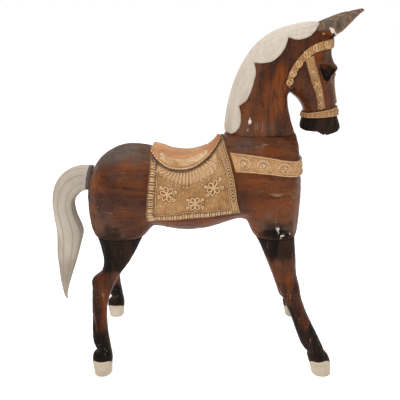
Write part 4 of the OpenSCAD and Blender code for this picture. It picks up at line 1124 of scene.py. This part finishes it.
def piped(pattern, x0, d0, side, lift, turn=0.0, size=1.0):
    """A flat pattern of u, v in millimetres wrapped on the back about x0, d0: u runs along x and v
    down the side."""
    u = size * (pattern[:, 0] * math.cos(turn) - pattern[:, 1] * math.sin(turn))
    v = size * (pattern[:, 0] * math.sin(turn) + pattern[:, 1] * math.cos(turn))
    ends, _ = on_back(np.full(2, x0), np.array([d0 - 1.0, d0 + 1.0]), side)
    per_degree = np.linalg.norm(ends[1] - ends[0]) / 2
    return line_on_back(x0 + u, d0 + v / per_degree, side, lift)


def flower(petals, outer, loop, count=150):
    """A closed line with one loop at each petal: a circle of radius outer, plus a smaller circle of
    radius loop that turns the other way, petals - 1 times as fast."""
    t = np.linspace(0, 2 * np.pi, count)
    k = petals - 1
    return np.stack([outer * np.cos(t) + loop * np.cos(k * t),
                     outer * np.sin(t) - loop * np.sin(k * t)], 1)


def ring(radius, count=20):
    """A closed circle."""
    t = np.linspace(0, 2 * np.pi, count)
    return np.stack([radius * np.cos(t), radius * np.sin(t)], 1)


def leaf(x, y, length, turn, count=16):
    """A leaf-shaped loop from x, y: out along turn and back, half as wide as long."""
    t = np.linspace(0, 1, count)
    a = length * np.sin(np.pi * t)
    b = 0.28 * length * np.sin(2 * np.pi * t)
    c, w = math.cos(turn), math.sin(turn)
    return np.stack([x + a * c - b * w, y + a * w + b * c], 1)


SEAT_EDGE = np.array([[-78, 18], [-65, 32], [-44, 40], [-23, 41], [5, 37], [30, 26], [47, 18], [58, 12]],
                     float)
for side, word in ((RIGHT, "right"), (LEFT, "left")):
    lines = []
    for k in range(RAYS):
        t = k / (RAYS - 1)
        x0 = -50 + 84 * t
        d0 = along(SEAT_EDGE, np.array(x0))[1] + 4.5
        x1, d1 = -64 + 112 * t, 47 + 19 * math.sin(math.pi * t) - 3 * t
        for spread in (-1.15, 1.15):
            w = np.linspace(0, 1, 14)
            x = x0 + (x1 - x0) * w + spread * (0.55 + 0.45 * w)
            lines.append(line_on_back(x, d0 + (d1 - d0) * w, side, BLANKET_TOP + 0.15))
        lines.append(piped(ring(0.9, 8), x1, d1 + 2.2, side, BLANKET_TOP + 0.4))
    paste_lines(f"fan_rays_{word}_piping", lines, gold, "gold_paste", [f"fan_rays_{word}"], 0.8)

    lines = []
    for x0, d0, turn in ROSETTES:
        lift = BLANKET_TOP + 0.25
        lines.append(piped(flower(6, 7.2, 5.4), x0, d0, side, lift, turn))
        lines.append(piped(ring(2.6), x0, d0, side, lift + 0.5, turn))
        lines.append(piped(ring(0.8, 8), x0, d0, side, lift + 0.8, turn))
        for angle in (0.5, 2.6, 3.7, 5.8):
            lines.append(piped(leaf(11 * math.cos(angle), 11 * math.sin(angle), 6.5, angle), x0, d0,
                               side, lift, turn))
        for u0, v0 in ((-13, -9), (13, -9), (-15, 6), (15, 6), (0, 14.5)):
            lines.append(piped(ring(0.8, 8) + np.array([u0, v0]), x0, d0, side, lift + 0.3, turn))
    paste_lines(f"rosettes_{word}_piping", lines, gold, "gold_paste", [f"rosettes_{word}"], 1.05)

# ---- Saddle seat ------------------------------------------------------------------------------
# A thick shaped pad bedded on the blanket, painted tan, with a paler punched panel along each lower
# edge and a row of beads.

SEAT_LOW = BLANKET_TOP + BED
SEAT_T = 7.0
SEAT_EDGE_T = 2.6
BEADS = 38
BEAD_R = 1.7


def seat_top(x, d):
    """Height of the seat's top over the skin: it falls from SEAT_T in the middle to SEAT_EDGE_T at
    the edge with the power 2.4 of the share of the way out."""
    share = np.abs(d) / along(SEAT_EDGE, x)[..., 1]
    return SEAT_LOW + SEAT_T - (SEAT_T - SEAT_EDGE_T) * np.clip(share, 0, 1) ** 2.4


def seat_paint(name):
    """Satin tan paint, darker in broad strokes along the seat, with brown specks."""
    s = Shader(name)
    stroke = s.cloud(18, 4, 0.55, s.stretched((0.5, 1.0, 1.0)), 0.5)
    speck = s.cloud(160, 4, 0.7)
    colour = s.blend(s.bend(stroke, 0.3, 0.7), (0.46, 0.212, 0.070), (0.30, 0.125, 0.040))
    colour = s.coat(colour, speck, 0.52, 0.66, (0.20, 0.085, 0.032), 0.6)
    # Painted shade: darker where the hollow tint is high, along the pad's edge.
    colour = s.coat(colour, s.tint("hollow"), 0.1, 1.0, (0.10, 0.042, 0.017), 0.85)
    s.skin.inputs["Specular IOR Level"].default_value = 0.25
    return s.finish(colour, s.bend(speck, 0.3, 0.7, 0.40, 0.55), speck, 0.0006, 0.7)


x = np.concatenate([np.linspace(-78, -60, 26), np.linspace(-60, 40, 70)[1:], np.linspace(40, 58, 26)[1:]])
t = np.linspace(-1, 1, 130)
spread = along(SEAT_EDGE, x)[:, 1]
d = spread[:, None] * t[None, :]
base, n = framed(trunk_skin, x[:, None] + 0 * d, 90 + d, 0.5)
bumps = 0.25 * noise(base, 20, 2) + 0.10 * noise(base, 4, 5)
# Painted shade along the pad's edge, where it falls to the blanket.
hollow = ease(1.8, 0.2, from_edge(base)) * 0.9
seat = laid_piece("seat_pad", base, n, SEAT_LOW - BED, seat_top(x[:, None] + 0 * d, d), 2.0, bumps,
                  {"hollow": hollow})
fit(seat, seat_paint("seat_tan_paint"), "horse", "seat_paint", "saddle_seat")

panel_paste = gold_paste("pale_punched_paste", (0.56, 0.37, 0.21), (0.70, 0.52, 0.33), (0.22, 0.115, 0.052))
bead_paste = gold_paste("bead_paste", (0.46, 0.28, 0.14), (0.72, 0.54, 0.34), (0.14, 0.07, 0.03))
for side, word in ((RIGHT, "right"), (LEFT, "left")):
    x = np.linspace(-62, 33, 150)
    w = np.linspace(0, 1, 26)
    order = w if side == LEFT else w[::-1]
    spread = along(SEAT_EDGE, x)[:, 1]
    narrow = np.sqrt(np.clip((spread[:, None] - 20) / 12, 0.2, 1))
    d = spread[:, None] - 3.5 - 13.0 * order[None, :] * narrow
    base, n = on_back(x[:, None] + 0 * d, d, side)
    base, n, d = outward(base, n, d)
    punch = np.cos(x[:, None] * 2 * np.pi / 2.6) * np.cos(order[None, :] * 2 * np.pi * 5)
    reach = from_edge(base)
    top = seat_top(x[:, None] + 0 * d, d) + 0.9
    # The punched dents and the panel's edge are darker as painted shade, and the tops between the dents
    # paler as a painted highlight.
    panel = laid_piece(f"seat_panel_{word}", base, n, top - 1.5, top, 0.9, 0.22 * punch,
                       {"relief": ease(0, 1, punch) * 0.8,
                        "hollow": 0.6 * ease(0, -1, punch) + 0.9 * ease(0.9, 0.2, reach)})
    fit(panel, panel_paste, "horse", "pale_paste", f"seat_rim_{word}")

    points, quads, caps, relief = [], [], [], []
    rings, around = 5, 10
    for k, bead_x in enumerate(np.linspace(-76.5, 54, BEADS)):
        spread = along(SEAT_EDGE, np.array(bead_x))[1] - 1.0
        p, n = on_back(bead_x, spread, side)
        flat = np.cross(n, [1, 0, 0])
        flat /= np.linalg.norm(flat)
        other = np.cross(n, flat)
        lat = np.linspace(-0.45 * np.pi, 0.45 * np.pi, rings)
        phi = np.arange(around) * 2 * np.pi / around
        r = BEAD_R * (1 + 0.12 * math.sin(k * 2.7))
        sphere = (np.cos(lat)[:, None, None] * (np.cos(phi)[:, None] * flat + np.sin(phi)[:, None] * other)
                  + np.sin(lat)[:, None, None] * n)
        points.append((p + n * (SEAT_LOW + SEAT_EDGE_T - 0.2) + r * sphere).reshape(-1, 3))
        # Each bead is paler on its top, as rubbed paste and a painted highlight.
        relief.append(np.repeat(ease(-0.5, 0.9, np.sin(lat)), around))
        start = k * rings * around
        quads.append(grid_faces(rings, around, True, start))
        caps += ring_caps(rings, around, start)
    beads = make_piece(f"seat_beads_{word}_row", np.concatenate(points), np.concatenate(quads), caps,
                       {"relief": np.concatenate(relief)})
    fit(beads, bead_paste, "horse", "pale_paste", f"seat_beads_{word}")

# ---- Breast band ------------------------------------------------------------------------------
# A strap of paste across the chest, from one shoulder to the other, piped with heart scrolls.

BAND_T = 3.0
# Heights of its edges at places along x, the ends of the edges, and where it turns round the chest.
BAND_TOP = np.array([[68, 469], [139, 463], [186, 454], [216, 450]], float)
BAND_BOTTOM = np.array([[68, 437], [139, 433], [186, 426], [216, 423]], float)
BAND_START = (68, 79)
BAND_TURN = 186.0


def chest_x(d, z):
    """The place along x where the chest, d degrees from the top, comes down to z, by halving."""
    low, high = np.full(np.shape(d), 150.0), np.full(np.shape(d), 216.0)
    for _ in range(24):
        middle = (low + high) / 2
        above = trunk_skin(middle, 90 - d)[..., 2] > z
        low, high = np.where(above, middle, low), np.where(above, high, middle)
    return low


def band_place(u, w):
    """x and d of a place on the band: u is 0 at its end, 1 at the turn and 2 at the middle of the
    chest, and w goes from its top edge to its bottom. d is found from the height at x; past the turn
    the angle shrinks by the sine of the way left, and x is found from the height instead."""
    share = np.sin(np.pi / 2 * np.clip(2 - u, 0, 1))
    start = BAND_START[0] + (BAND_START[1] - BAND_START[0]) * w
    x = start + (BAND_TURN - start) * np.minimum(u, 1)
    ahead = x + 20 * (1 - share)
    z = along(BAND_TOP, ahead)[..., 1] * (1 - w) + along(BAND_BOTTOM, ahead)[..., 1] * w
    r = along(TRUNK, x)
    side_angle = 90 - np.degrees(np.arcsin(np.clip((z - r[..., 1]) / r[..., 2], 0, 1) ** (r[..., 5] / 2)))
    d = share * side_angle
    return np.where(u > 1, chest_x(d, z), x), d


u = np.linspace(0, 2, 150)
u = np.concatenate([u, u[-2::-1]])
half = np.concatenate([np.ones(150), -np.ones(149)])
w = np.linspace(0, 1, 34)
x, d = band_place(u[:, None] + 0 * w[None, :], w[None, :] + 0 * u[:, None])
base, n = framed(trunk_skin, x, 90 - d * half[:, None], 0.5)
base, n = outward(base, n)
reach = from_edge(base)
bumps = 0.2 * noise(base, 7, 1) + 0.3 * noise(base, 24, 2)
# The band is darker along its edge, as painted shade where it meets the body, and paler just inside it, as
# a painted highlight.
band = laid_piece("breast_band_strap", base, n, BED - 0.3, BED + BAND_T, 1.2, bumps,
                  {"relief": 0.5 * ease(1.8, 0.6, reach) * ease(0, 0.8, reach),
                   "hollow": 0.7 * ease(0.8, 0, reach) + 0.15 * ease(2.5, 3.5, reach)})
band_gold = gold_paste("band_gold_paste", (0.50, 0.265, 0.115), (0.66, 0.44, 0.25), (0.075, 0.032, 0.013))
fit(band, band_gold, "horse", "gold_paste", "breast_band")


def heart(count=26):
    """Two curls that spring from one foot and coil inwards at the top, as two lists of points: each
    runs around a circle whose radius shrinks as it turns."""
    t = np.linspace(0, 1, count)
    turn = -0.5 * np.pi + 2.9 * np.pi * t
    r = 4.6 * (1 - 0.75 * t)
    curl = np.stack([4.3 + r * np.cos(turn) * (0.4 + 0.6 * t + 0.4 * (1 - t)), 1.2 - r * np.sin(turn)], 1)
    foot = np.stack([np.linspace(0, curl[0, 0], 6)[:-1], np.linspace(9.5, curl[0, 1], 6)[:-1]], 1)
    curl = np.concatenate([foot, curl])
    return [curl, curl * np.array([-1, 1])]


def arch(radius, count=22):
    """An arch open below, round the heart."""
    t = np.linspace(-0.12, 1.12, count) * np.pi
    return np.stack([radius * np.cos(t), -radius * 0.86 * np.sin(t) + 1], 1)


u = np.linspace(0, 2, 300)
p, _ = on_back(*band_place(u, np.full(300, 0.5)), LEFT)
run = np.concatenate([[0], np.cumsum(np.linalg.norm(np.diff(p, axis=0), axis=1))])
BAND_WIDE = 29.0
SCROLLS = 5
for side, word in ((RIGHT, "right"), (LEFT, "left")):
    lines = []
    for k in range(SCROLLS):
        # The first heart keeps clear of the band's slanted end.
        middle = run[-1] * (k + 0.5) / SCROLLS + (3 if k == 0 else 0)
        for shape in heart() + [arch(10.6), arch(12.8), leaf(0, 2, -6, math.pi / 2), ring(1.1, 10)]:
            place = np.interp(middle + 0.9 * shape[:, 0], run, u)
            x, d = band_place(place, np.clip(0.52 + 0.9 * shape[:, 1] / BAND_WIDE, 0.07, 0.93))
            lines.append(line_on_back(x, d, side, BED + BAND_T + 0.1))
    for w0 in (0.07, 0.93):
        x, d = band_place(np.linspace(0.03, 1.98, 120), np.full(120, w0))
        lines.append(line_on_back(x, d, side, BED + BAND_T - 0.1))
    paste_lines(f"breast_scrolls_{word}_piping", lines, band_gold, "gold_paste", [f"breast_scrolls_{word}"],
                0.7)

# ---- Bridle -----------------------------------------------------------------------------------
# Straps of paste on the head: the crown strap with ring studs, two cheek straps and a face strap
# with small flowers, and a noseband with beads, in old gold.

STRAP_T = 2.5
# The head's rows, and the neck's turned about behind them, so that one skin carries the bridle.
BRIDLE = np.array([*HEAD] + [[17 - k, *NECK[k][[3, 4, 1, 2, 5, 6, 7]]] for k in (7, 6, 5, 4, 3)])
# Edges of the straps in the side view: step, x, z. The crown strap runs from throat to forehead.
CROWN_OUTER = np.array([[0, 165, 586], [1, 168, 599], [2, 172.5, 612], [3, 183, 628], [4, 197, 642.5],
                        [5, 214, 652], [6, 231, 657], [7, 243, 659]])
CROWN_INNER = np.array([[0, 173, 578], [1, 177, 592], [2, 183, 606], [3, 192, 620], [4, 205, 632],
                        [5, 219, 639], [6, 234, 642], [7, 244, 643]], float)
CROWN_END = 6.5
CROSSING = (6.3, 7.0)
CHEEK_FRONT = np.array([[0, 242, 543], [1, 233, 567], [2, 222, 596], [3, 211, 627]], float)
CHEEK_REAR = np.array([[0, 227.5, 540], [1, 221, 562], [2, 209, 589], [3, 197, 621]])
bridle_gold = gold_paste("bridle_gold_paste", (0.22, 0.098, 0.034), (0.58, 0.36, 0.17),
                         (0.040, 0.016, 0.007))


def on_head(u, a):
    """Points and normals on the head at step u and angle a."""
    u, a = np.broadcast_arrays(np.asarray(u, float), np.asarray(a, float))
    return framed(lambda v, b: pair_skin(BRIDLE, v, b), u, a, 0.02)


def place_at(x, z):
    """The step and angle of the bridle's skin at x, z in the side view: the step by halving, from
    the side of each row's line that the point is on, and the angle from its share of that line."""
    low, high = np.zeros(np.shape(x)), np.full(np.shape(x), 14.0)
    for _ in range(24):
        middle = (low + high) / 2
        s = along(BRIDLE, middle)
        ahead = ((s[..., 1] - s[..., 3]) * (z - s[..., 4]) > (s[..., 2] - s[..., 4]) * (x - s[..., 3]))
        low, high = np.where(ahead, middle, low), np.where(ahead, high, middle)
    s = along(BRIDLE, low)
    lx, lz = s[..., 1] - s[..., 3], s[..., 2] - s[..., 4]
    c = 2 * ((x - s[..., 3]) * lx + (z - s[..., 4]) * lz) / (lx**2 + lz**2) - 1
    return low, np.degrees(np.arccos(spow(np.clip(c, -1, 1), s[..., 7] / 2)))


def head_strap(name, u, a, node):
    """A strap laid on the head over a grid of steps and angles, darker along its edge as painted shade and
    in random patches, and paler just inside the edge as a painted highlight.
    """
    base, n = outward(*on_head(u, a))
    reach = from_edge(base)
    tints = {"hollow": 0.75 * ease(0.9, 0.1, reach) + 0.35 * np.clip(noise(base, 5, 2), 0, 1),
             "relief": 0.5 * ease(2.2, 0.9, reach) * ease(0.2, 0.9, reach)}
    strap = laid_piece(name, base, n, BED - 0.4, BED + STRAP_T, 0.8, 0.18 * noise(base, 4, 3), tints)
    return fit(strap, bridle_gold, "horse", "gold_paste", node)


def flat_on_head(pattern, u0, a0, lift, turn=0.0):
    """A small flat pattern laid on the head about u0, a0: its x runs around the head."""
    p, n = on_head(u0, a0)
    ahead, _ = on_head(u0, a0 + 1)
    across = (ahead - p) / np.linalg.norm(ahead - p)
    other = np.cross(n, across)
    c, w = math.cos(turn), math.sin(turn)
    u, v = pattern[:, 0] * c - pattern[:, 1] * w, pattern[:, 0] * w + pattern[:, 1] * c
    spots = p + n * lift + u[:, None] * across + v[:, None] * other
    return spots, np.tile(n, (len(pattern), 1))


v = np.concatenate([np.linspace(0, CROWN_END, 130), np.full(40, CROWN_END), np.linspace(CROWN_END, 0, 130)])
share = np.concatenate([np.full(130, -1), np.linspace(-1, 1, 42)[1:-1], np.full(130, 1)])[:, None]
w = np.linspace(0, 1, 20)[None, :]
inner, outer = along(CROWN_INNER, v)[:, None], along(CROWN_OUTER, v)[:, None]
spot = inner + (outer - inner) * w[..., None]
u, a = place_at(spot[..., 1], spot[..., 2])
over = CROSSING[0] + (CROSSING[1] - CROSSING[0]) * w
head_strap("crown_strap_paste", over + (u - over) * np.abs(share), a * share, "crown_strap")

a = np.linspace(0, 360, 181)[:-1]
# The noseband's section: step along the head and height over it.
section = [(2.3, 0.1), (2.32, 2.4), (2.4, 3.0), (2.65, 3.15), (2.9, 3.0), (2.98, 2.4), (3.0, 0.1),
           (2.65, 0.1)]
rings = []
for u0, lift in section:
    p, n = on_head(u0, a)
    rough = 0.15 * noise(p, 4, 2) * (lift > 1)
    rings.append(p + n * (lift + rough)[..., None])
grid = np.array(rings)
rows, columns = len(section), len(a)
quads = grid_faces(rows + 1, columns, True) % (rows * columns)
# The noseband is darker at its foot, as painted shade, and paler on its top, as a painted highlight.
nose = make_piece("noseband_paste", grid.reshape(-1, 3), quads, (),
                  {"relief": np.repeat([0, 0.1, 0.5, 0.3, 0.5, 0.1, 0, 0], columns),
                   "hollow": np.repeat([1, 0.6, 0, 0.2, 0, 0.6, 1, 1], columns)})
fit(nose, bridle_gold, "horse", "gold_paste", "noseband")
lines = [flat_on_head(ring(2.3, 12), 2.65, spot, 3.3) for spot in np.arange(0, 360, 15)]
lines += [flat_on_head(ring(0.7, 7), 2.65, spot, 3.5) for spot in np.arange(0, 360, 15)]
for u0 in (2.38, 2.92):
    p, n = on_head(u0, np.linspace(0, 360, 160))
    lines.append((p + n * 2.8, n))
paste_lines("noseband_piping", lines, bridle_gold, "gold_paste", [], 0.55)

for side, word in ((RIGHT, "right"), (LEFT, "left")):
    lines = []
    for v0 in np.linspace(0.6, 5.8, 6):
        middle = (along(CROWN_INNER, np.array(v0)) + along(CROWN_OUTER, np.array(v0))) / 2
        u0, a0 = place_at(middle[1], middle[2])
        for shape in (ring(5.8, 26), ring(4.2, 20), ring(1.4, 12), leaf(0, 0, 3.4, 0.6),
                      leaf(0, 0, 3.4, 3.7)):
            lines.append(flat_on_head(shape, u0, side * a0, BED + STRAP_T + 0.3))
    paste_lines(f"crown_studs_{word}_rings", lines, bridle_gold, "gold_paste",
                [f"crown_studs_{word}"], 0.65)

    v = np.linspace(0, 3.2, 90)[:, None]
    w = np.linspace(0, 1, 18)[None, :]
    spot = along(CHEEK_REAR, v) * (1 - w[..., None]) + along(CHEEK_FRONT, v) * w[..., None]
    u, a = place_at(spot[..., 1], spot[..., 2])
    head_strap(f"cheek_strap_{word}_paste", u, side * a, f"cheek_strap_{word}")
    lines = []
    for k, v0 in enumerate(np.linspace(0.18, 2.8, 9)):
        middle = (along(CHEEK_REAR, np.array(v0)) + along(CHEEK_FRONT, np.array(v0))) / 2
        u0, a0 = place_at(middle[1], middle[2])
        shape = flower(4, 2.9, 1.7, 44) if k % 2 else ring(3.3, 14)
        lines.append(flat_on_head(shape, u0, side * a0, BED + STRAP_T + 0.1))
        lines.append(flat_on_head(ring(0.8, 8), u0, side * a0, BED + STRAP_T + 0.3))
    paste_lines(f"cheek_strap_{word}_flowers", lines, bridle_gold, "gold_paste", [], 0.55)

u = np.linspace(3.1, 4.65, 60)
a = np.linspace(-14, 14, 16)
face_gold = gold_paste("face_gold_paste", (0.42, 0.26, 0.12), (0.66, 0.47, 0.27), (0.12, 0.06, 0.025))
u, a = np.broadcast_arrays(u[:, None], a[None, :])
strap = head_strap("face_strap_paste", u, a, "face_strap")
strap.data.materials[0] = face_gold
lines = [flat_on_head(flower(4, 2.4, 1.3, 40), u0, 0.0, BED + STRAP_T) for u0 in np.linspace(3.2, 4.5, 7)]
paste_lines("face_strap_flowers", lines, face_gold, "gold_paste", [], 0.45)
